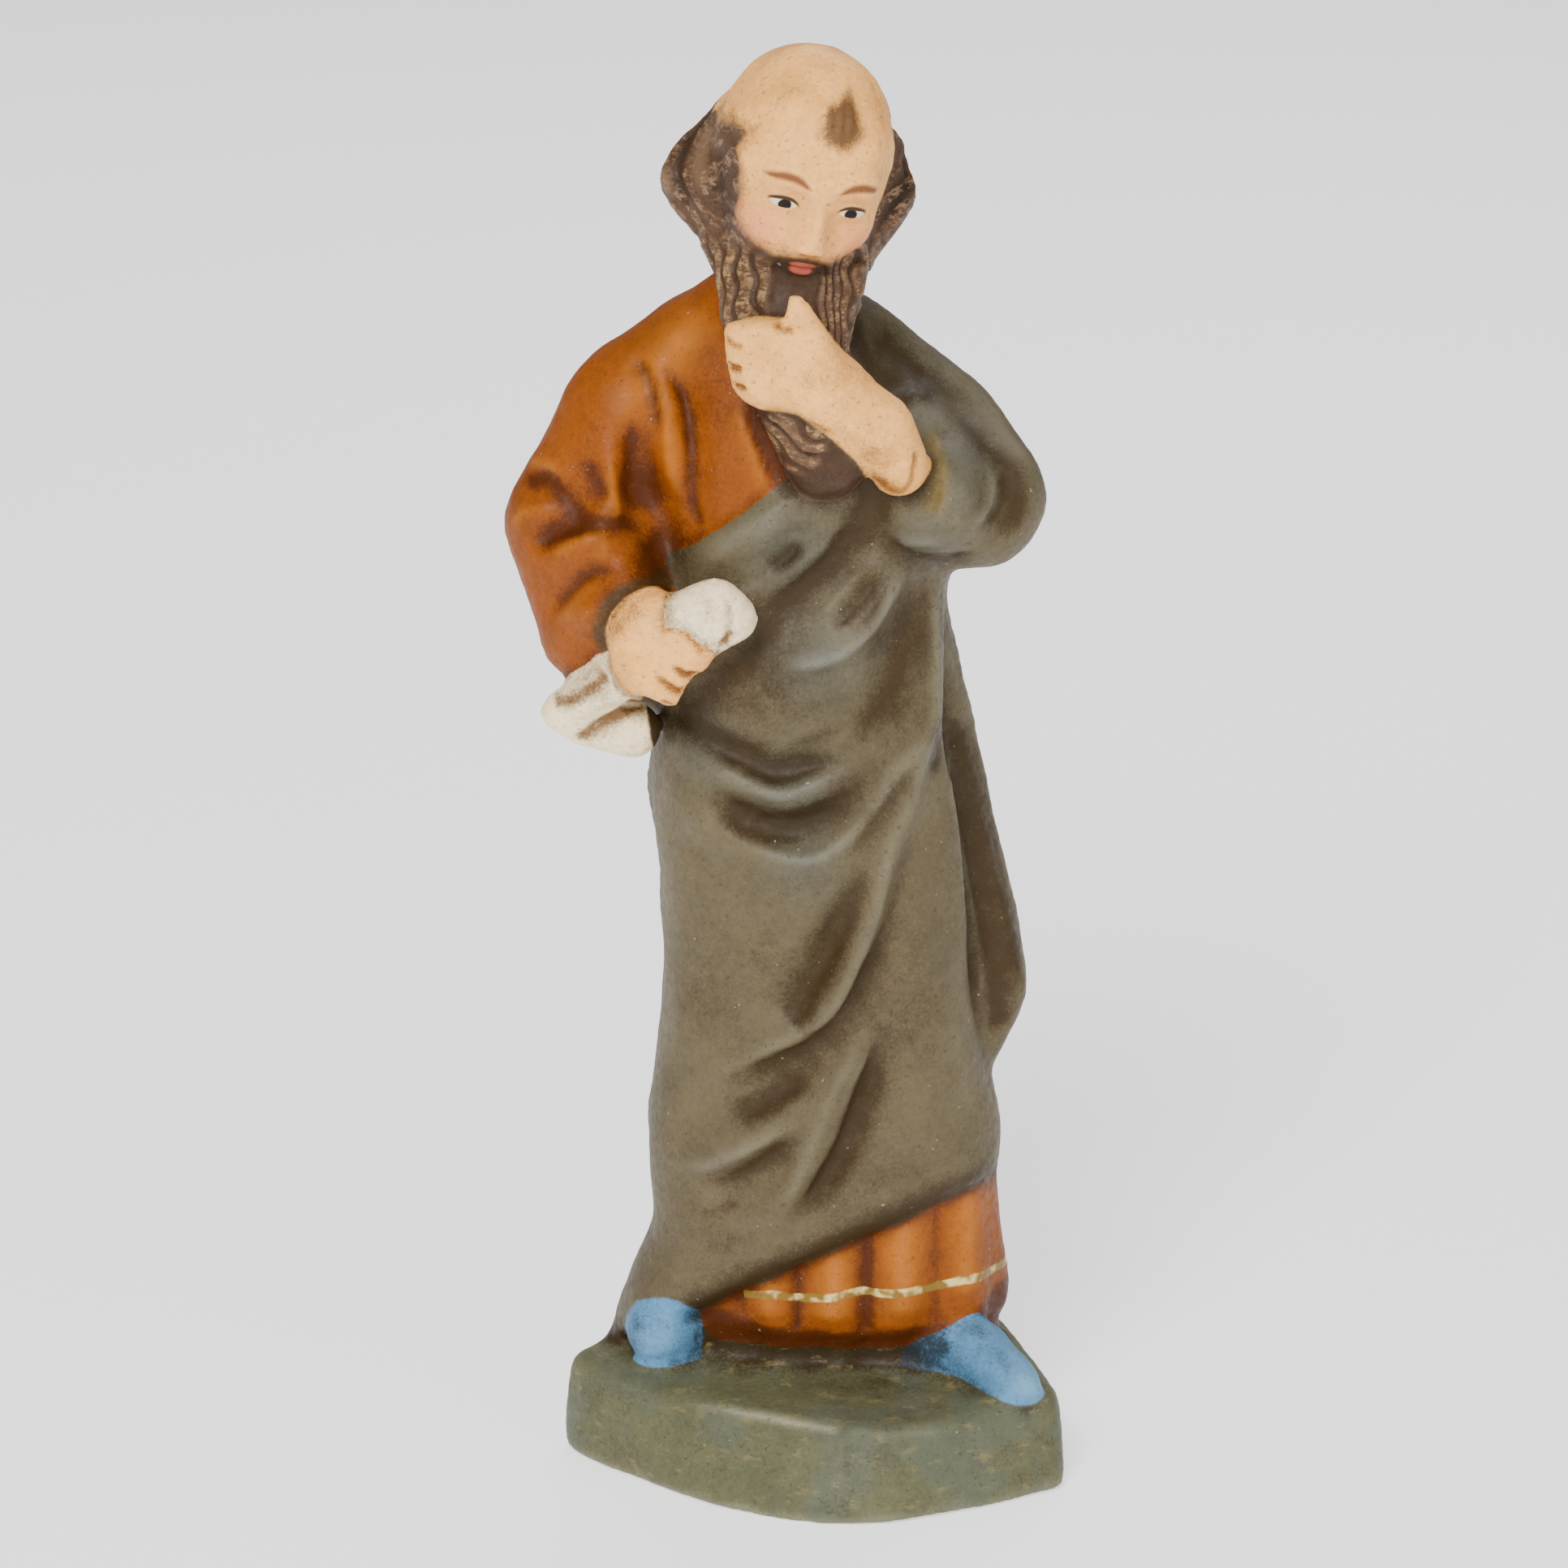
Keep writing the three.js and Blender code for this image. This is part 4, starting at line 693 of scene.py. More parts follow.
def stroke(p, normals, line):
    """The vertices near a fold, and how strongly it acts on each, from 0 to 1 on the line itself."""
    x, y, z = p.T
    facing = normals[:, 1] if line["on"] == "back" else -normals[:, 1]
    u, scale = x, 1.0
    if line["on"] == "around":
        angle = np.arctan2(x, BODY_AXIS - y)
        facing = normals[:, 0] * np.sin(angle) - normals[:, 1] * np.cos(angle)
        u, scale = angle * WRAP_RADIUS, math.radians(1) * WRAP_RADIUS
    path = smooth_path([(a * scale, b) for a, b in line["points"]])
    reach = STROKE_REACH * HALO_SPREAD * max(line["wide"])
    low, high = path.min(0) - reach, path.max(0) + reach
    within = (u > low[0]) & (u < high[0]) & (z > low[1]) & (z < high[1])
    near = np.nonzero(within & (facing > GRAZING))[0]
    q = np.stack([u[near], z[near]], 1)
    best = np.full(len(near), np.inf)
    along = np.zeros(len(near))
    left = np.zeros(len(near), bool)
    count = len(path) - 1
    for i, (a, b) in enumerate(zip(path, path[1:])):
        d = b - a
        r = q - a
        t = np.clip(r @ d / max(d @ d, 1e-9), 0, 1)
        distance = np.linalg.norm(r - t[:, None] * d, axis=1)
        closer = distance < best
        best[closer] = distance[closer]
        along[closer] = (i + t[closer]) / count
        left[closer] = (d[0] * r[:, 1] - d[1] * r[:, 0])[closer] > 0
    ends = smoothstep(along, 0, line["fade"][0]) * smoothstep(1 - along, 0, line["fade"][1])
    width = np.where(left, *line["wide"]) * (0.5 + 0.5 * ends)
    amount = (1 - line["halo"]) * bell(best, width) + line["halo"] * bell(best, HALO_SPREAD * width)
    return near, amount * ends * smoothstep(facing[near], GRAZING, SQUARE_ON)


# The casting


def places(mesh):
    """The vertices' places in millimetres."""
    co = np.empty(len(mesh.vertices) * 3)
    mesh.vertices.foreach_get("co", co)
    return co.reshape(-1, 3) / MM


def set_places(mesh, p):
    mesh.vertices.foreach_set("co", (p * MM).ravel())
    mesh.update()


def normals_of(mesh):
    n = np.empty(len(mesh.vertices) * 3)
    mesh.vertex_normals.foreach_get("vector", n)
    return n.reshape(-1, 3)


def edges_of(mesh):
    e = np.empty(len(mesh.edges) * 2, np.int64)
    mesh.edges.foreach_get("vertices", e)
    return e.reshape(-1, 2)


def relaxed(p, edges, passes, amount=0.5):
    """The places after some passes that pull each vertex towards its neighbours."""
    count = len(p)
    a = np.concatenate([edges[:, 0], edges[:, 1]])
    b = np.concatenate([edges[:, 1], edges[:, 0]])
    degree = np.maximum(np.bincount(a, minlength=count), 1)[:, None]
    for _ in range(passes):
        total = np.stack([np.bincount(a, p[b, k], count) for k in range(p.shape[1])], 1)
        p = p + amount * (total / degree - p)
    return p


def only(piece):
    """Makes this the one selected and active object."""
    bpy.ops.object.select_all(action="DESELECT")
    piece.select_set(True)
    bpy.context.view_layer.objects.active = piece


def apply_modifier(piece, name, kind, **values):
    """Adds a modifier of the given kind and applies it."""
    only(piece)
    modifier = piece.modifiers.new(name, kind)
    for key, value in values.items():
        setattr(modifier, key, value)
    bpy.ops.object.modifier_apply(modifier=modifier.name)


def casting(node):
    """A merged copy of the solid with even faces, finer at the head, the hands and the scroll."""
    piece = node.copy()
    piece.data = node.data.copy()
    piece.name = piece.data.name = "painted_figure"
    piece.parent = None
    for key in list(piece.keys()):
        del piece[key]
    bpy.context.scene.collection.objects.link(piece)
    only(piece)
    bpy.ops.object.mode_set(mode="EDIT")
    bpy.ops.mesh.select_all(action="SELECT")
    bpy.ops.mesh.remove_doubles(threshold=MERGE_GAP)
    bpy.ops.object.mode_set(mode="OBJECT")
    apply_modifier(piece, "rounded", "SUBSURF", levels=1, render_levels=1)
    apply_modifier(piece, "evened", "REMESH", mode="VOXEL", voxel_size=CAST_GRAIN, use_smooth_shade=True)
    mesh = piece.data
    p, edges = places(mesh), edges_of(mesh)
    soft = relaxed(p, edges, SOFTENING)
    share = smoothstep(p[:, 2], 0.0, FOOT_EDGE)[:, None]
    set_places(mesh, p + (soft - p) * share)
    finer(piece)
    return piece


def finer(piece):
    """Splits the faces of the head, the beard, the hands and the scroll."""
    mesh = piece.data
    p = places(mesh)
    y, z = p[:, 1], p[:, 2]
    head = (z > CHIN) & (z < CROWN) & (y < 3)
    hair = (hair_form(p) < 0.9) & (y < 4)
    fine = head | hair | (hand_form(p) < 0.9) | (scroll_form(p) < 0.5)
    only(piece)
    bpy.ops.object.mode_set(mode="EDIT")
    bpy.ops.mesh.select_mode(type="VERT")
    bpy.ops.mesh.select_all(action="DESELECT")
    bpy.ops.object.mode_set(mode="OBJECT")
    starts = np.empty(len(mesh.polygons), np.int64)
    mesh.polygons.foreach_get("loop_start", starts)
    corners = np.empty(len(mesh.loops), np.int64)
    mesh.loops.foreach_get("vertex_index", corners)
    mesh.polygons.foreach_set("select", np.logical_and.reduceat(fine[corners], starts))
    bpy.ops.object.mode_set(mode="EDIT")
    bpy.ops.mesh.select_mode(type="FACE")
    bpy.ops.mesh.subdivide(number_cuts=1, smoothness=0)
    bpy.ops.object.mode_set(mode="OBJECT")


def wander(p, size, seed):
    """A smooth, seeded field of about -1 to 1 that changes over the given size in millimetres."""
    rng = np.random.default_rng(seed)
    total = np.zeros(len(p))
    for _ in range(5):
        direction = rng.normal(size=3)
        direction *= 2 * math.pi / (size * rng.uniform(0.7, 1.6) * np.linalg.norm(direction))
        total += np.sin(p @ direction + rng.uniform(0, 6.28))
    return total / 2.5


def locks(distance, period):
    """Broad locks with narrow grooves between them: -1 in the grooves to 1 on the crests."""
    return 2 * smoothstep(np.sin(2 * math.pi * distance / period), -1, 0.1) - 1


def strands(p):
    """The beard's and the wreath's locks, -1 in grooves to 1 on crests, and how far a place is wreath."""
    x, y, z = p.T
    bend = 0.16 * np.sin(1.1 * z + 0.8 * x) + 0.5 * wander(p, 4, 11)
    upper = locks(x + bend, np.where(x < -1.6, 1.35, 0.9))
    across = 0.62 * (x + 1.2) + 0.78 * (z - 90) + 0.35 * np.sin(1.1 * (x - z)) + 0.5 * wander(p, 4, 12)
    down = smoothstep(z, 94, 97)
    beard = locks(across, 1.5) * (1 - down) + upper * down
    side = np.where(x < -1, -5.2, 3)
    wreath = locks(np.hypot(x - side, z - 110) + 0.9 * wander(p, 6, 13), 1.9)
    behind = locks(x + 0.5 * np.sin(0.7 * z) + 0.5 * wander(p, 7, 15), 2.2)
    back = smoothstep(y, 2.2, 4.2)
    wreath = wreath * (1 - back) + behind * back
    high = np.maximum(smoothstep(z, 103.2, 105.4), smoothstep(y, -2, 0.5))
    return beard, wreath, high


def set_floats(mesh, name, values):
    """Stores one number, or three, at each vertex."""
    kind, key = ("FLOAT", "value") if values.ndim == 1 else ("FLOAT_VECTOR", "vector")
    layer = mesh.attributes.new(name, kind, "POINT")
    layer.data.foreach_set(key, values.astype(np.float32).ravel())


# The hairline at each temple, in the head's own frame: heights, and how far forward it comes
LEFT_HAIRLINE = (
    (-7.4, -4.2, -2.1, -0.9, 0.4, 1, 2.6, 4.2, 5.4),
    (-2.3, -4.6, -5.1, -4.5, -3.7, -3, -3.4, -2.9, -1),
)
RIGHT_HAIRLINE = ((-7.4, -3.8, -1.9, 0.1, 2.4, 4.4, 5.4), (-2.3, -1.5, -0.7, 0.6, -0.4, -1.9, 0.6))
CROWN_HEIGHT = 5.4

# Where the beard begins, in the same frame: how far to either side, and heights
BEARD_LINE = ((0, 1.2, 2.4, 4, 5.8), (-4.5, -4.7, -4.8, -4.5, -3.2))

# The tuft's middle on the front of the crown, in the same frame
TUFT_SIDE, TUFT_HEIGHT = 0.45, 6


def hair_on_head(q):
    """How far inside the painted hair a place on the head lies. The face and the crown are bare."""
    side, depth, height = np.abs(q[:, 0]), q[:, 1], q[:, 2]
    hairline = np.where(q[:, 0] < 0, np.interp(height, *LEFT_HAIRLINE), np.interp(height, *RIGHT_HAIRLINE))
    temples = np.minimum(depth - hairline, CROWN_HEIGHT - height)
    temples = np.minimum(temples, np.where(depth > 0, 4, side - 3.5))
    beard = np.minimum(np.interp(side, *BEARD_LINE) - height, -2.2 - depth)
    return np.maximum(temples, beard)


def forelock(q):
    """A small tuft on the front of the crown, with a tip and a shorter one beside it: 1 in its middle."""
    side, height = q[:, 0] - TUFT_SIDE, q[:, 2] - TUFT_HEIGHT
    lean = 0.25 * np.clip(height, 0, 2)
    reach = np.hypot((side - lean) / (1.75 - 0.65 * np.clip(height, -0.8, 2)), height / 2)
    beside = np.hypot((side + 0.85) / 0.6, height / 1.1)
    tips = np.maximum(smoothstep(1.35 - reach, 0, 1.1), 0.9 * smoothstep(1.3 - beside, 0, 0.9))
    return tips * (q[:, 1] < 0)


# The face's fine relief in the head's own frame, the same on both sides: how far across and up its
# middle is, its half width and half height, and how much it rises
FACE_TOUCHES = [
    (2.8, -0.75, 1.2, 0.7, 0.16),  # eyes
    (2.8, 0.25, 1.5, 0.28, -0.16),  # folds above the lids
    (2.8, -1.75, 1.4, 0.3, -0.08),  # below the eyes
    (2.9, 1.25, 1.6, 0.35, 0.15),  # brows
    (0, -5.4, 1.1, 0.28, 0.14),  # upper lip
    (0, -5.8, 1.2, 0.16, -0.14),  # between the lips
    (0, -6.2, 0.9, 0.35, 0.2),  # lower lip
    (0, -1.4, 0.55, 2.2, 0.3),  # bridge of the nose
    (0.8, -3.7, 0.5, 0.5, 0.25),  # wings of the nose
    (0, -4.5, 0.5, 0.35, -0.15),  # below the nose
]


def face_relief(q):
    """How much each place on the front of the head rises."""
    across, height = np.abs(q[:, 0]), q[:, 2]
    rises = [
        rise * bell(np.hypot((across - a) / wide, (height - b) / tall), 1)
        for a, b, wide, tall, rise in FACE_TOUCHES
    ]
    return sum(rises) * smoothstep(-q[:, 1], 3.5, 4.5)


# Edges between the painted regions, in millimetres. The first numbers of each are x or z as it says.
NECKLINE = ((83.8, 85, 86.4, 95), (-3.2, -3.2, -1.2, 0))  # z, and the x where the robe ends
CROWN_EDGE = ((-9.5, -8.1, -6.4, -5.4), (113, 113.8, 115, 114.2))  # x, and the z where the crown is bare
SKIRT_EDGE = ((-8.7, -3.9, 1.9, 7.7, 12.6, 15.7), (14.3, 13.1, 12.6, 12.8, 13.3, 15))  # x and z
GOLD_LINE = (  # x and z
    (-5.7, -3.1, -1.2, 1.4, 3.3, 4.9, 9.8, 12.3, 15.7),
    (15.2, 15.6, 15.1, 15.4, 15.8, 15.6, 15.8, 16.2, 15.8),
)
FAR = 9.0  # mm, stands for well inside a region, or with a minus well outside it


def toe_value(p, forms):
    """How far inside the left toe, a rounded square that the hem leaves free, a place lies."""
    x, z = p[:, 0], p[:, 2]
    middle, half_width, half_height, squareness = -12.5, 3.25, 3.4, 2.6
    across = np.abs(x - middle) / half_width
    up = np.maximum((z - 11.3) / half_height + 0.3 * (x < middle) * across, 0)
    toe = 3.2 * (1 - (across**squareness + up**squareness) ** (1 / squareness))
    return np.minimum.reduce([toe, forms["plinth"] - forms["shoe"], 2.5 - forms["shoe"]])


def region_values(p, normals, forms):
    """For each painted region, how far inside it a vertex lies, in millimetres. The rest is cloak."""
    x, y, z = p.T
    values = {}
    for name, form in forms.items():
        others = np.minimum.reduce([other for key, other in forms.items() if key != name])
        values[name] = others - form
    values["shoe"] = np.where((x < 0) & (y < 5), toe_value(p, forms), values["shoe"])
    # Below 10.4 mm the skirt's foot takes the plinth's paint and its painted shadow under the skirt
    values["plinth"] = np.maximum(values["plinth"], np.where(np.abs(x) < 9, 10.4 - z, -FAR))
    opened = np.where((y < 8) & (z > 82), np.interp(z, *NECKLINE) - x, FAR)
    values["robe"] = np.minimum(values["robe"], opened)
    scroll_end = np.where(z < 68.5, -12.9 - 0.15 * (z - 62) - x, FAR)
    values["scroll"] = np.minimum(values["scroll"], scroll_end)

    # The hair covers the head up to its hairline and beside the crown, and the raised hand covers the beard
    on_head = np.where(forms["face"] < forms["hair"] + 0.8, hair_on_head(in_head(p)), values["hair"])
    hair = np.where(z > NECK, np.maximum(values["hair"], on_head), values["hair"])
    crown_edge = np.interp(x, *CROWN_EDGE) - z + 0.3 * wander(p, 3, 31) + 1.5 * np.maximum(y, 0)
    hair = np.where((x < 0) & (z > 110), np.minimum(hair, crown_edge), hair)
    head_skin = ((z > NAPE) | ((z > NECK) & (y < 0))) & (values["robe"] < 0) & (hair < 0)
    values["skin"] = np.where(head_skin, -hair, np.maximum(values["hand"], values["face"]))
    values["hair"] = np.where(values["hand"] > 0, -values["hand"], hair)

    for name, line in (("sleeve_mouth", SLEEVE_MOUTH), ("cuff_lining", CUFF_LINING)):
        near, amount = stroke(p, normals, line)
        values[name] = np.full(len(p), -FAR)
        values[name][near] = 2 * amount - 0.9
    values["band"] = np.abs(z - np.interp(x, *GOLD_LINE)) + 5 * (z > 22) + 5 * (x < -5.9)
    for key in ("cloak", "face", "hand"):
        del values[key]
    return values


def shade_where_forms_meet(p, forms, values):
    """Painted shade where one form meets another: round the hands, the scroll and the hair, at the cloak's
    hem and under the skirt's hem, with painted shadows on the plinth before and under the skirt.
    """

    def close_to(*names, width):
        return np.maximum.reduce([bell(np.maximum(forms[name], 0), width) for name in names])

    def inside(name):
        return smoothstep(values[name], -0.1, 0.15)

    x, y, z = p.T
    cloak = inside("cloth") * (1 - inside("robe"))
    # Painted shadows on the plinth's top, before the skirt and under it
    before_skirt = bell(np.hypot((x - 4) / 7, (y + 4) / 2.6), 1) * (z > 6.5)
    under_skirt = smoothstep(z, 7.8, 9.4) * bell(np.maximum(np.abs(x - 1.5) - 8.5, 0), 2) * (y < 2)
    return np.maximum.reduce(
        [
            inside("cloth") * close_to("hand", "scroll", "hair", width=1.0),
            inside("robe") * (z < 28) * close_to("cloak", width=1.1),
            inside("robe") * (z > 60) * 0.7 * bell(values["robe"], 0.9),
            inside("robe") * smoothstep(np.interp(x, *SKIRT_EDGE) - z, 0.1, 0.9),
            cloak * (z < 29) * 1.2 * bell(np.maximum(above_hem(p), 0), 1.6),
            inside("plinth") * close_to("robe", width=1.1),
            inside("plinth") * 0.7 * close_to("cloak", "shoe", width=0.6),
            inside("plinth") * 0.5 * before_skirt,
            inside("plinth") * under_skirt,
            inside("skin") * 0.5 * bell(values["skin"], np.where(z > 101, 0.8, 0.4)),
            inside("scroll") * 0.9 * close_to("hand", "robe", width=0.65),
            inside("hair") * 0.8 * close_to("hand", width=0.6),
            inside("shoe") * 0.9 * close_to("robe", width=0.7),
        ]
    )


# Where the cloak is bluer: x and z of the middle, and how far it reaches
COOL_PLACES = [
    (-2, 80, 4),
    (0, 71, 4),
    (11, 87, 4),
    (8, 92, 4),
    (9, 80.5, 3),
    (-2, 60, 4),
    (-1, 54, 3),
    (-9, 63, 3),
]


def cool_places(p):
    """How blue the cloak is at each place, from 0 to 1."""
    spots = [bell(np.hypot(p[:, 0] - x, p[:, 2] - z), reach) for x, z, reach in COOL_PLACES]
    return np.maximum.reduce(spots) * (p[:, 1] < 6)


def hair_carving(p, q):
    """How deep the locks are at each place, and the two lines of locks that the paint follows."""
    x, z = p[:, 0], p[:, 2]
    below_lips = smoothstep(-q[:, 2], 4.2, 4.8) * smoothstep(z, 97, CHIN)
    chin = bell(np.maximum(np.abs(q[:, 0]) - 1.2, 0), 0.8) * below_lips
    rim = smoothstep(np.hypot((x + 1.7) / 3.1, (z - 89.8) / 3.6), 0.65, 1) * (z < 94)
    smooth = np.maximum(chin, rim)
    beard, wreath, high = strands(p)
    lock = (beard * (1 - smooth) - smooth) * (1 - high) - 0.3 * high
    curl = wreath * high
    strength = np.clip(0.7 + 0.4 * wander(p, 3, 14), 0.2, 1.1)
    depth = 0.2 * strength * beard * (1 - smooth) * (1 - high) + 0.05 * wreath * high
    return depth, lock, curl


def carve(piece):
    """Carves folds, locks and creases, and stores what the paint needs to know at each vertex."""
    mesh = piece.data
    edges = edges_of(mesh)
    p = places(mesh)
    height = p[:, 2]
    normals = normals_of(mesh)
    q = in_head(p)
    forms = {name: form(p) for name, form in FORMS.items()}
    values = region_values(p, normals, forms)
    values["cloth"] = -np.maximum.reduce([values[k] for k in ("plinth", "shoe", "scroll", "skin", "hair")])

    move = np.zeros(len(p))
    bare = np.ones(len(p))  # share of the surface that no fold's glaze and painted shade covers
    light = np.zeros(len(p))
    for region, line in ((region, line) for region, lines in FOLDS for line in lines):
        near, amount = stroke(p, normals, line)
        amount *= smoothstep(values[region][near], -0.1, 0.2)
        move[near] += line["rise"] * amount
        bare[near] *= 1 - np.clip(line["glaze_and_shade"] * amount, 0, 1)
        light[near] = np.maximum(light[near], line["light"] * amount)
    depth, lock, curl = hair_carving(p, q)
    move += smoothstep(values["hair"], 0.1, 0.7) * (depth - 0.06)
    tuft = forelock(q)
    move += 0.35 * tuft * (1 + 0.2 * locks(q[:, 0], 0.8))
    move += face_relief(q) * smoothstep(values["skin"], 0, 0.3) * (height > CHIN)
    uneven = 0.03 * wander(p, 1.6, 21) + 0.05 * wander(p, 5, 22)
    move += uneven * smoothstep(height, UNDERSIDE, ROUGH_FROM)
    carved = p + normals * move[:, None]
    carved[:, 2] = np.where(height < UNDERSIDE, height, np.maximum(carved[:, 2], UNDERSIDE))
    set_places(mesh, carved)

    normals = normals_of(mesh)
    small = relaxed(carved, edges, SMALL_FORMS)
    broad = relaxed(small, edges, BROAD_FORMS)
    # Darker in hollows and lighter on raised places, from how far the carved surface lies below or above
    # its relaxed copies: painted shade and painted highlight
    hollow = ((small - carved) * normals).sum(1)
    basin = ((broad - carved) * normals).sum(1)
    recess = 0.4 * smoothstep(hollow, 0.01, 0.16) + 0.6 * smoothstep(basin, 0, 0.75)
    raised = 0.6 * smoothstep(-hollow, 0.02, 0.16) + 0.4 * smoothstep(-basin, 0.1, 0.9)
    glaze_and_shade = 1 - bare * (1 - 0.8 * recess)
    paint = np.stack([glaze_and_shade, shade_where_forms_meet(p, forms, values), np.maximum(light, 0.5 * raised)], 1)
    for name, amount in zip(("glaze_and_shade", "contact_shade", "light"), relaxed(paint, edges, 1).T):
        set_floats(mesh, name, amount)
    for name, amount in (("lock", np.clip(lock, -1, 1)), ("curl", curl), ("tuft", tuft)):
        set_floats(mesh, name, amount)
    set_floats(mesh, "cool", cool_places(p))
    del values["cloth"]
    for name, inside in values.items():
        set_floats(mesh, name + "_mm", np.clip(inside, -FAR, FAR))
    set_floats(mesh, "head_place", q)


# Paint


def tint(red, green, blue):
    """A paint colour from its 0 to 255 screen values."""
    return (*(((c / 255 + 0.055) / 1.055) ** 2.4 for c in (red, green, blue)), 1)


class Nodes:
    """Adds shader nodes to one tree. Inputs are sockets or values."""

    def __init__(self, tree):
        self.tree = tree

    def add(self, kind, inputs=(), **settings):
        made = self.tree.nodes.new(kind)
        for key, value in settings.items():
            setattr(made, key, value)
        for key, value in dict(inputs).items():
            if isinstance(value, bpy.types.NodeSocket):
                self.tree.links.new(value, made.inputs[key])
            else:
                made.inputs[key].default_value = value
        return made

    def group(self, tree, **inputs):
        """A node group's outputs. Spaces in the names of its inputs are written as underscores."""
        inputs = {key.replace("_", " "): value for key, value in inputs.items()}
        return self.add("ShaderNodeGroup", inputs, node_tree=tree).outputs

    def math(self, operation, a, b=0.0, clamp=False):
        return self.add("ShaderNodeMath", {0: a, 1: b}, operation=operation, use_clamp=clamp).outputs[0]

    def times(self, a, b):
        return self.math("MULTIPLY", a, b)

    def ramp(self, value, low, high, out_low=0.0, out_high=1.0):
        ends = {"Value": value, "From Min": low, "From Max": high, "To Min": out_low, "To Max": out_high}
        return self.add("ShaderNodeMapRange", ends, interpolation_type="SMOOTHSTEP").outputs[0]

    def mix(self, factor, a, b, blend="MIX"):
        made = self.add("ShaderNodeMix", {0: factor, 6: a, 7: b}, data_type="RGBA", blend_type=blend)
        return made.outputs[2]

    def noise(self, vector, scale, detail=3.0, roughness=0.6):
        inputs = {"Vector": vector, "Scale": scale, "Detail": detail, "Roughness": roughness}
        return self.add("ShaderNodeTexNoise", inputs).outputs[0]

    def attribute(self, name):
        return self.add("ShaderNodeAttribute", attribute_name=name).outputs["Fac"]


def group(name, inputs, outputs):
    """A new shader node group with named sockets: its tree, nodes, inputs and outputs."""
    tree = bpy.data.node_groups.new(name, "ShaderNodeTree")
    for socket, kind, value in inputs:
        made = tree.interface.new_socket(socket, in_out="INPUT", socket_type=kind)
        if value is not None:
            made.default_value = value
    for socket, kind in outputs:
        tree.interface.new_socket(socket, in_out="OUTPUT", socket_type=kind)
    nodes = Nodes(tree)
    source = nodes.add("NodeGroupInput").outputs
    sink = nodes.add("NodeGroupOutput").inputs
    return tree, nodes, source, sink


FLOAT, COLOR, VECTOR = "NodeSocketFloat", "NodeSocketColor", "NodeSocketVector"
WHITE = (1, 1, 1, 1)


def paint_coat_group():
    """Lays one region's three tints over those below it, up to a hand-painted edge."""
    tree, nodes, source, sink = group(
        "paint_coat",
        [
            ("Base", COLOR, None), ("Light", COLOR, None), ("Dark", COLOR, None),
            ("Inside", FLOAT, 0.0), ("Edge", FLOAT, 0.12),
            ("New Base", COLOR, None), ("New Light", COLOR, None), ("New Dark", COLOR, None),
        ],
        [("Base", COLOR), ("Light", COLOR), ("Dark", COLOR), ("Mask", FLOAT)],
    )
    low = nodes.times(source["Edge"], -1.0)
    mask = nodes.ramp(source["Inside"], low, source["Edge"])
    for name in ("Base", "Light", "Dark"):
        tree.links.new(nodes.mix(mask, source[name], source["New " + name]), sink[name])
    tree.links.new(mask, sink["Mask"])
    return tree


def mottle_group():
    """Uneven hand-brushed tone: broad clouds and fine grain over a colour."""
    tree, nodes, source, sink = group(
        "brushed_mottle",
        [("Color", COLOR, None), ("Place", VECTOR, None), ("Scale", FLOAT, 180.0), ("Amount", FLOAT, 0.2)],
        [("Color", COLOR)],
    )
    clouds = nodes.noise(source["Place"], source["Scale"], 4.0, 0.6)
    fine = nodes.noise(source["Place"], nodes.times(source["Scale"], 12.0), 3.0, 0.7)
    mixed = nodes.math("ADD", nodes.times(clouds, 0.5), nodes.times(fine, 0.5))
    tone = nodes.ramp(mixed, 0.35, 0.65, -0.5, 0.5)
    gain = nodes.math("ADD", nodes.times(tone, source["Amount"]), 1.0)
    grey = nodes.add("ShaderNodeCombineColor", {0: gain, 1: gain, 2: gain}).outputs[0]
    tree.links.new(nodes.mix(1.0, source["Color"], grey, "MULTIPLY"), sink["Color"])
    return tree


def speckle_group():
    """Small dots of another colour, such as dust, pinholes and worn paint."""
    tree, nodes, source, sink = group(
        "fine_speckle",
        [
            ("Color", COLOR, None), ("Speck", COLOR, None), ("Place", VECTOR, None),
            ("Scale", FLOAT, 2500.0), ("Threshold", FLOAT, 0.68), ("Amount", FLOAT, 0.6),
        ],
        [("Color", COLOR)],
    )
    dots = nodes.noise(source["Place"], source["Scale"], 2.0, 0.5)
    high = nodes.math("ADD", source["Threshold"], 0.06)
    mask = nodes.times(nodes.ramp(dots, source["Threshold"], high), source["Amount"])
    tree.links.new(nodes.mix(mask, source["Color"], source["Speck"]), sink["Color"])
    return tree


def wash_group():
    """A stippled wash: another colour laid on by an amount that the grain breaks up."""
    tree, nodes, source, sink = group(
        "stippled_wash",
        [
            ("Color", COLOR, None), ("Wash", COLOR, None), ("Amount", FLOAT, 0.0), ("Place", VECTOR, None),
            ("Grain", FLOAT, 4200.0), ("Roughness", FLOAT, 0.5), ("Most", FLOAT, 0.9),
        ],
        [("Color", COLOR)],
    )
    grain = nodes.noise(source["Place"], source["Grain"], 3.0, 0.7)
    clouds = nodes.noise(source["Place"], 700.0, 3.0, 0.6)
    mixed = nodes.math("ADD", nodes.times(grain, 0.6), nodes.times(clouds, 0.4))
    swing = nodes.times(source["Roughness"], 2.0)
    shift = nodes.times(nodes.math("SUBTRACT", mixed, 0.5), swing)
    some = nodes.math("MINIMUM", nodes.times(source["Amount"], 4.0), 1.0)
    broken = nodes.math("ADD", source["Amount"], nodes.times(shift, some))
    mask = nodes.ramp(broken, 0.0, 1.05, 0.0, source["Most"])
    tree.links.new(nodes.mix(mask, source["Color"], source["Wash"]), sink["Color"])
    return tree


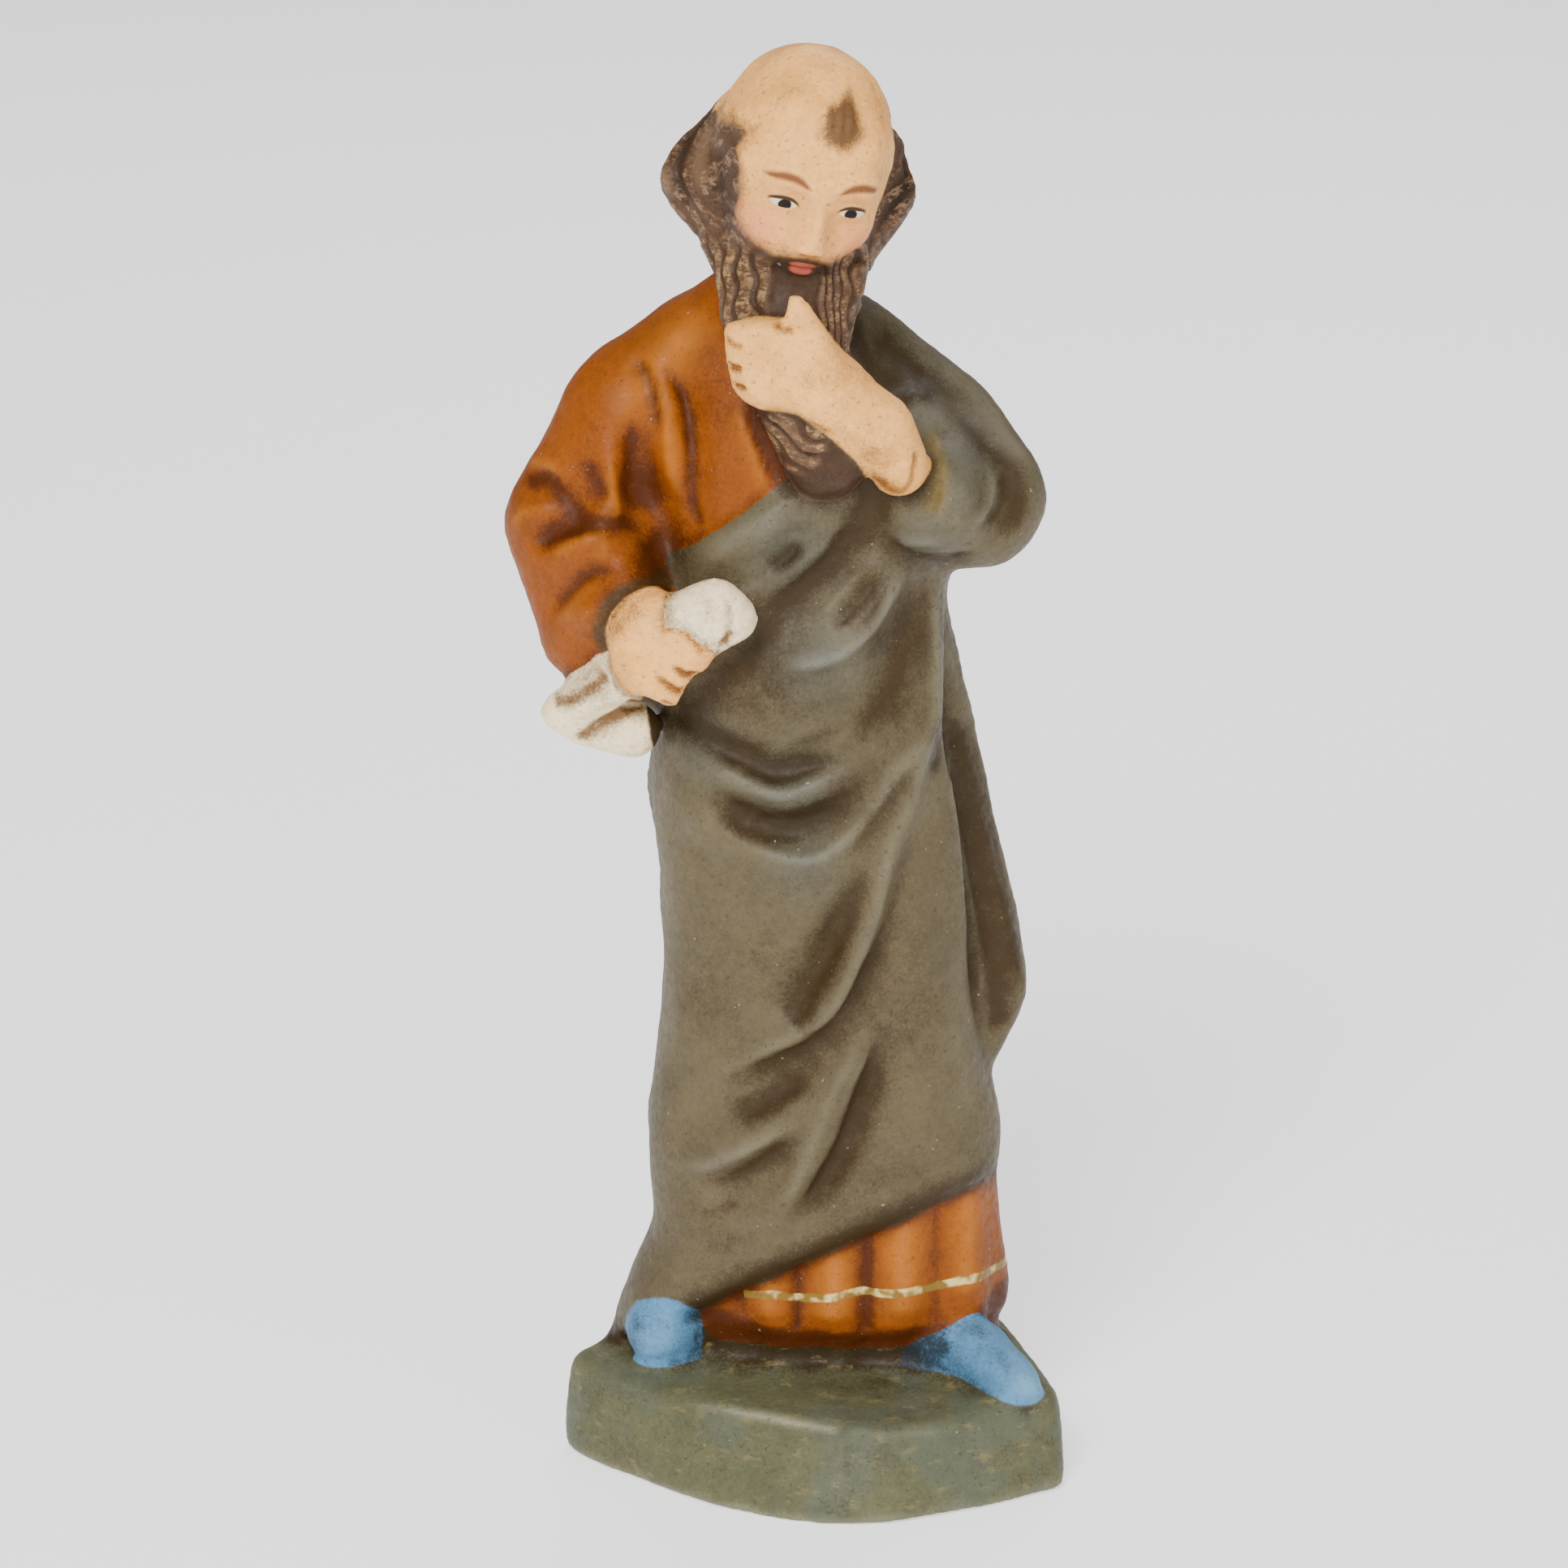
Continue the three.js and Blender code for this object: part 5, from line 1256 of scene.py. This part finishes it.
def spot_group():
    """An oval touch of the brush on the face: 1 inside, fading over the softness."""
    tree, nodes, source, sink = group(
        "brush_spot",
        [
            ("Across", FLOAT, 0.0), ("Up", FLOAT, 0.0),
            ("Centre Across", FLOAT, 0.0), ("Centre Up", FLOAT, 0.0),
            ("Half Width", FLOAT, 1.0), ("Half Height", FLOAT, 1.0), ("Softness", FLOAT, 0.1),
        ],
        [("Mask", FLOAT)],
    )
    sideways = nodes.math("SUBTRACT", source["Across"], source["Centre Across"])
    upwards = nodes.math("SUBTRACT", source["Up"], source["Centre Up"])
    u = nodes.math("DIVIDE", sideways, source["Half Width"])
    w = nodes.math("DIVIDE", upwards, source["Half Height"])
    radius = nodes.math("SQRT", nodes.math("ADD", nodes.times(u, u), nodes.times(w, w)))
    low = nodes.math("SUBTRACT", 1.0, source["Softness"])
    high = nodes.math("ADD", 1.0, source["Softness"])
    tree.links.new(nodes.ramp(radius, low, high, 1.0, 0.0), sink["Mask"])
    return tree


# Colours in threes: base, light (on crests, partly a painted highlight) and dark (the glaze in recesses,
# partly painted shade), lit and shaded copies of each region's paint.
# The cloak's come first, and each region's are laid over those before it, with an edge that fades over so
# many millimetres either way.
CLOAK = (tint(91, 80, 57), tint(126, 118, 96), tint(51, 35, 11))
COOL_CLOAK = (tint(84, 80, 65), tint(114, 112, 100), tint(46, 33, 14))
REGIONS = [
    ("robe", 0.12, (tint(135, 67, 0), tint(190, 110, 14), tint(68, 28, 0))),
    ("sleeve_mouth", 0.8, (tint(98, 82, 46), tint(126, 110, 72), tint(60, 42, 16))),
    ("cuff_lining", 0.4, (tint(100, 70, 32), tint(206, 176, 120), tint(58, 34, 8))),
    ("plinth", 0.25, (tint(92, 92, 66), tint(156, 154, 126), tint(44, 28, 2))),
    ("shoe", 0.15, (tint(88, 138, 174), tint(134, 178, 202), tint(30, 34, 36))),
    ("scroll", 0.15, (tint(252, 230, 184), tint(255, 252, 238), tint(104, 62, 14))),
    ("skin", 0.15, (tint(252, 182, 98), tint(255, 226, 172), tint(108, 56, 8))),
    ("hair", 0.7, (tint(88, 62, 44), tint(152, 120, 90), tint(36, 24, 10))),
]


# Single touches of paint
SLATE, SCUFF = tint(84, 94, 88), tint(150, 132, 84)
OCHRE = tint(216, 150, 66)
LOCK_GROOVE, LOCK_STREAK, CURL_STREAK = tint(40, 27, 12), tint(158, 126, 82), tint(172, 136, 102)
TUFT, MOUTH_BEARD = tint(78, 50, 34), tint(52, 36, 22)
DULL_GOLD, PAINTED_GLINT_GOLD = tint(132, 102, 34), tint(232, 208, 136)
PIT, DUST = tint(56, 40, 24), tint(200, 188, 168)
BLUSH, HOLLOW_SHADE, UNDER_NOSE_SHADOW = tint(222, 128, 92), tint(184, 124, 72), tint(172, 108, 56)
BROW, NOSTRIL = tint(112, 62, 34), tint(140, 80, 48)
EYE_WHITE, PUPIL, LID = tint(226, 208, 182), tint(20, 13, 10), tint(30, 16, 10)
LIPS, LIP_LINE = tint(164, 78, 62), tint(104, 40, 28)

# How fine each pattern is, in features per metre
EDGE_WOBBLE, MOTTLE, GLAZE_PATCHES = 700.0, 170.0, 150.0
SLATE_PATCHES, SCUFFS, OCHRE_PATCHES = 110.0, 1300.0, 190.0
HAIR_SCRATCHES, DRY_BRUSH, BRUSH_LOADS = 2600.0, 1700.0, 420.0
GOLD_GLINTS, PITS, DUST_SPECKS = 520.0, 2600.0, 2100.0
PLASTER_GRAIN, PLASTER_WAVES = 1500.0, 380.0
BUMP_HEIGHT = 0.1 * MM


class Brush:
    """Lays paint over the colours of one material, in patterns that follow the figure's own frame."""

    def __init__(self, nodes):
        self.nodes = nodes
        self.place = nodes.add("ShaderNodeTexCoord").outputs["Object"]
        sideways = {"Vector": self.place, "Scale": (0.4, 0.4, 1.0)}  # draws a pattern out to the sides
        self.level = nodes.add("ShaderNodeMapping", sideways).outputs[0]
        self.wash_tree = wash_group()

    def patches(self, scale, low, high, least=0.0, most=1.0):
        """A cloudy pattern: the least where it is under low, and the most where it is over high."""
        return self.nodes.ramp(self.nodes.noise(self.place, scale), low, high, least, most)

    def wash(self, color, paint, amount, roughness, most):
        """Paint stippled over a colour."""
        return self.nodes.group(
            self.wash_tree, Color=color, Wash=paint, Amount=amount, Place=self.place,
            Roughness=roughness, Most=most,
        )[0]

    def lay(self, color, paint, mask, strength=1.0):
        """Even paint over a colour."""
        return self.nodes.mix(self.nodes.times(mask, strength), color, paint)


def face_paint(brush, color):
    """Painted eyes, brows, lips and cheeks on the head, and painted shade round the eyes, beside and under
    the nose and in the nostrils, in its own frame and the same on both sides.
    """
    nodes, spot = brush.nodes, spot_group()
    vector = nodes.add("ShaderNodeAttribute", attribute_name="head_place").outputs["Vector"]
    place = nodes.add("ShaderNodeSeparateXYZ", {0: vector}).outputs
    across, depth, up = nodes.math("ABSOLUTE", place[0]), place[1], place[2]
    front = nodes.times(nodes.ramp(depth, -4.2, -5.0), nodes.ramp(depth, -9.6, -9.2))

    def touch(centre_across, centre_up, half_width, half_height, softness=0.1):
        mask = nodes.group(
            spot, Across=across, Up=up, Centre_Across=centre_across, Centre_Up=centre_up,
            Half_Width=half_width, Half_Height=half_height, Softness=softness,
        )[0]
        return nodes.times(mask, front)

    color = brush.lay(color, BLUSH, touch(3.9, -3, 1.7, 1.4, 0.9), 0.6)
    # Painted shade in the hollows round the eyes and beside the nose
    color = brush.lay(color, HOLLOW_SHADE, touch(2.6, -0.2, 2.1, 1.3, 0.8), 0.45)
    color = brush.lay(color, HOLLOW_SHADE, touch(1.5, -2.6, 0.7, 1.7, 0.8), 0.4)
    arch = nodes.math("SUBTRACT", touch(2.9, 0, 2.1, 2.1), touch(2.9, -0.75, 2.6, 2.2), clamp=True)
    color = brush.lay(color, BROW, nodes.times(arch, nodes.ramp(up, 0.9, 1.3)), 0.95)
    # Painted shadow under the nose
    color = brush.lay(color, UNDER_NOSE_SHADOW, touch(0, -4.3, 1.1, 0.35, 0.6), 0.5)
    eye = nodes.times(touch(2.8, -0.85, 1.1, 0.62, 0.08), touch(2.8, -0.3, 1.25, 0.7, 0.08))
    below_lid = nodes.math("SUBTRACT", 1.0, touch(2.8, -0.98, 1.26, 0.7, 0.08))
    lid = nodes.times(touch(2.8, -0.8, 1.3, 0.82, 0.08), below_lid)
    color = brush.lay(color, EYE_WHITE, eye, 0.95)
    color = brush.lay(color, PUPIL, nodes.times(touch(2.7, -0.7, 0.52, 0.52), eye))
    color = brush.lay(color, LID, nodes.times(lid, nodes.ramp(up, -0.85, -0.4)), 0.95)
    # Painted shade in the nostrils
    color = brush.lay(color, NOSTRIL, touch(0.45, -4.0, 0.28, 0.18, 0.5), 0.7)
    color = brush.lay(color, MOUTH_BEARD, touch(0, -5.75, 2.9, 1.0, 0.35), 0.85)
    lips = nodes.math("MAXIMUM", touch(0, -5.45, 1.05, 0.36, 0.2), touch(0, -5.98, 0.9, 0.42, 0.2))
    color = brush.lay(color, LIPS, lips, 0.9)
    return brush.lay(color, LIP_LINE, touch(0, -5.7, 1.0, 0.09, 0.6), 0.7)


def region_coats(nodes, wobble):
    """The regions' tints laid over the cloak's, and how far each region covers."""
    coat = paint_coat_group()
    cool = nodes.attribute("cool")
    base, light, dark = (nodes.mix(cool, warm, cold) for warm, cold in zip(CLOAK, COOL_CLOAK))
    masks = {}
    for name, edge, (new_base, new_light, new_dark) in REGIONS:
        inside = nodes.math("ADD", nodes.attribute(name + "_mm"), wobble)
        out = nodes.group(
            coat, Base=base, Light=light, Dark=dark, Inside=inside,
            Edge=edge, New_Base=new_base, New_Light=new_light, New_Dark=new_dark,
        )
        base, light, dark = out["Base"], out["Light"], out["Dark"]
        masks[name] = out["Mask"]
    return base, light, dark, masks


def shaded(brush, base, light, dark, masks):
    """Light paint on the crests, partly a painted highlight, and dark glaze in patches, with glaze and
    painted shade in folds and hollows and painted shade where forms meet.
    """
    nodes = brush.nodes
    color = nodes.group(mottle_group(), Color=base, Place=brush.place, Scale=MOTTLE, Amount=0.32)[0]
    color = brush.wash(color, light, nodes.attribute("light"), 0.6, 0.7)
    slate = nodes.times(brush.patches(SLATE_PATCHES, 0.48, 0.6), masks["plinth"])
    color = brush.lay(color, SLATE, slate, 0.35)
    color = brush.wash(color, dark, brush.patches(GLAZE_PATCHES, 0.42, 0.66, 0.04, 0.36), 0.9, 0.7)
    color = brush.wash(color, dark, nodes.attribute("glaze_and_shade"), 0.9, 0.92)
    color = brush.wash(color, dark, nodes.attribute("contact_shade"), 0.9, 0.9)
    # A second, paler pass on the highest crests: painted highlight
    crests = nodes.ramp(nodes.attribute("light"), 0.5, 1.1)
    color = brush.wash(color, nodes.mix(0.05, light, WHITE), crests, 0.8, 0.5)
    skin = nodes.math("SUBTRACT", masks["skin"], masks["hair"], clamp=True)
    return brush.lay(color, OCHRE, nodes.times(brush.patches(OCHRE_PATCHES, 0.5, 0.66), skin), 0.35)


def hair_paint(brush, color, hair):
    """Painted shade in the grooves, light dry-brushed locks, and the tuft on the crown."""
    nodes = brush.nodes
    scratches = nodes.ramp(nodes.noise(brush.level, HAIR_SCRATCHES, 3.0, 0.7), 0.44, 0.56)
    dry = nodes.ramp(nodes.noise(brush.place, DRY_BRUSH, 3.0, 0.7), 0.42, 0.54, 0.25, 1.0)
    dragged = nodes.times(brush.patches(BRUSH_LOADS, 0.4, 0.6, 0.35, 1.0), nodes.times(scratches, dry))
    lock = nodes.attribute("lock")
    # Painted shade in the grooves between the locks
    groove = nodes.times(nodes.ramp(lock, 0.4, -0.8), hair)
    color = brush.wash(color, LOCK_GROOVE, nodes.times(groove, 0.6), 0.4, 0.9)
    streak = nodes.times(nodes.ramp(lock, -0.1, 0.6), hair)
    color = brush.lay(color, LOCK_STREAK, nodes.times(streak, dragged), 0.85)
    thin = nodes.times(nodes.ramp(nodes.attribute("curl"), 0.2, 0.9), hair)
    color = brush.lay(color, CURL_STREAK, nodes.times(thin, dragged), 0.5)
    return brush.wash(color, TUFT, nodes.times(nodes.attribute("tuft"), 1.25), 0.7, 0.92)


def painted_plaster():
    """The figure's one painted surface."""
    material = bpy.data.materials.new("painted_plaster")
    material.use_nodes = True
    material.node_tree.nodes.clear()
    nodes = Nodes(material.node_tree)
    brush = Brush(nodes)
    place = brush.place
    wobble = nodes.times(nodes.math("SUBTRACT", nodes.noise(place, EDGE_WOBBLE, 2.0), 0.5), 0.5)
    base, light, dark, masks = region_coats(nodes, wobble)
    color = shaded(brush, base, light, dark, masks)
    color = hair_paint(brush, color, masks["hair"])
    scuffs = nodes.ramp(nodes.noise(brush.level, SCUFFS, 4.0, 0.7), 0.54, 0.72)
    color = brush.lay(color, SCUFF, nodes.times(scuffs, masks["plinth"]), 0.4)
    color = face_paint(brush, color)

    band = nodes.math("ADD", nodes.attribute("band_mm"), nodes.times(wobble, 0.6))
    gold = nodes.times(nodes.ramp(band, 0.44, 0.3), masks["robe"])
    # Bright spots along the gold line are painted glints
    glint = nodes.ramp(nodes.noise(place, GOLD_GLINTS, 2.0), 0.5, 0.66)
    color = brush.lay(color, nodes.mix(glint, DULL_GOLD, PAINTED_GLINT_GOLD), gold, 0.95)

    speckle = speckle_group()
    for speck, scale, threshold, amount in ((PIT, PITS, 0.64, 0.4), (DUST, DUST_SPECKS, 0.73, 0.35)):
        color = nodes.group(
            speckle, Color=color, Speck=speck, Place=place, Scale=scale, Threshold=threshold, Amount=amount
        )[0]

    grain = nodes.noise(place, PLASTER_GRAIN, 4.0, 0.6)
    roughness = nodes.math("SUBTRACT", nodes.ramp(grain, 0.3, 0.7, 0.46, 0.64), nodes.times(gold, 0.15))
    height = nodes.math("ADD", grain, nodes.times(nodes.noise(place, PLASTER_WAVES), 1.2))
    bump = nodes.add("ShaderNodeBump", {"Strength": 0.3, "Distance": BUMP_HEIGHT, "Height": height})
    shader = nodes.add(
        "ShaderNodeBsdfPrincipled",
        {"Base Color": color, "Roughness": roughness, "Normal": bump.outputs[0], "Specular IOR Level": 0.2},
    )
    nodes.add("ShaderNodeOutputMaterial", {"Surface": shader.outputs[0]})
    return material


# Studio


# Places and sizes in metres, and power in watts. The softboxes' places are from the camera's target.
CAMERA_TARGET = Vector((-0.00245, 0, 0.0586))
CAMERA_PITCH = math.radians(16)
CAMERA_DISTANCE = 0.6
SENSOR_MM, LENS_MM = 36, 169.2
FLOOR_WIDTH = 8
PALE = (0.9, 0.9, 0.9, 1)
SOFTBOXES = [
    ("key_softbox", (-0.16, -0.62, 0.5), 0.3, 8.0),
    ("fill_softbox", (0.5, -0.45, 0.3), 0.4, 1.0),
    ("back_softbox", (0.1, 0.5, 0.5), 0.4, 2.0),
]


def pale_floor():
    bpy.ops.object.select_all(action="DESELECT")
    bpy.ops.mesh.primitive_plane_add(size=FLOOR_WIDTH, location=(0, 0, 0))
    floor = bpy.context.object
    floor.name = "studio_floor"
    pale = bpy.data.materials.new("studio_floor")
    pale.use_nodes = True
    shader = pale.node_tree.nodes["Principled BSDF"]
    shader.inputs["Base Color"].default_value = PALE
    shader.inputs["Roughness"].default_value = 0.9
    shader.inputs["Emission Color"].default_value = WHITE
    shader.inputs["Emission Strength"].default_value = 0.9
    floor.data.materials.append(pale)


def soft_light():
    world = bpy.data.worlds.new("studio")
    world.use_nodes = True
    background = world.node_tree.nodes["Background"].inputs
    background["Color"].default_value = WHITE
    background["Strength"].default_value = 0.3
    bpy.context.scene.world = world
    for name, offset, size, power in SOFTBOXES:
        bpy.ops.object.light_add(type="AREA", location=CAMERA_TARGET + Vector(offset))
        lamp = bpy.context.object
        lamp.name = name
        lamp.data.size = size
        lamp.data.energy = power
        lamp.rotation_euler = (-Vector(offset)).to_track_quat("-Z", "Y").to_euler()


def front_camera():
    """The camera in front of the figure and a little above it."""
    camera = bpy.data.objects.new("camera", bpy.data.cameras.new("camera"))
    bpy.context.scene.collection.objects.link(camera)
    direction = Vector((0, -math.cos(CAMERA_PITCH), math.sin(CAMERA_PITCH)))
    camera.location = CAMERA_TARGET + CAMERA_DISTANCE * direction
    camera.rotation_euler = (math.radians(90) - CAMERA_PITCH, 0, 0)
    camera.data.sensor_width = SENSOR_MM
    camera.data.lens = LENS_MM
    camera.data.clip_start = 0.01
    bpy.context.scene.camera = camera


figure = casting(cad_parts["nativity_figure"])
carve(figure)
figure.data.materials.clear()
figure.data.materials.append(painted_plaster())
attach(figure, "root")
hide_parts("nativity_figure")
pale_floor()
soft_light()
front_camera()
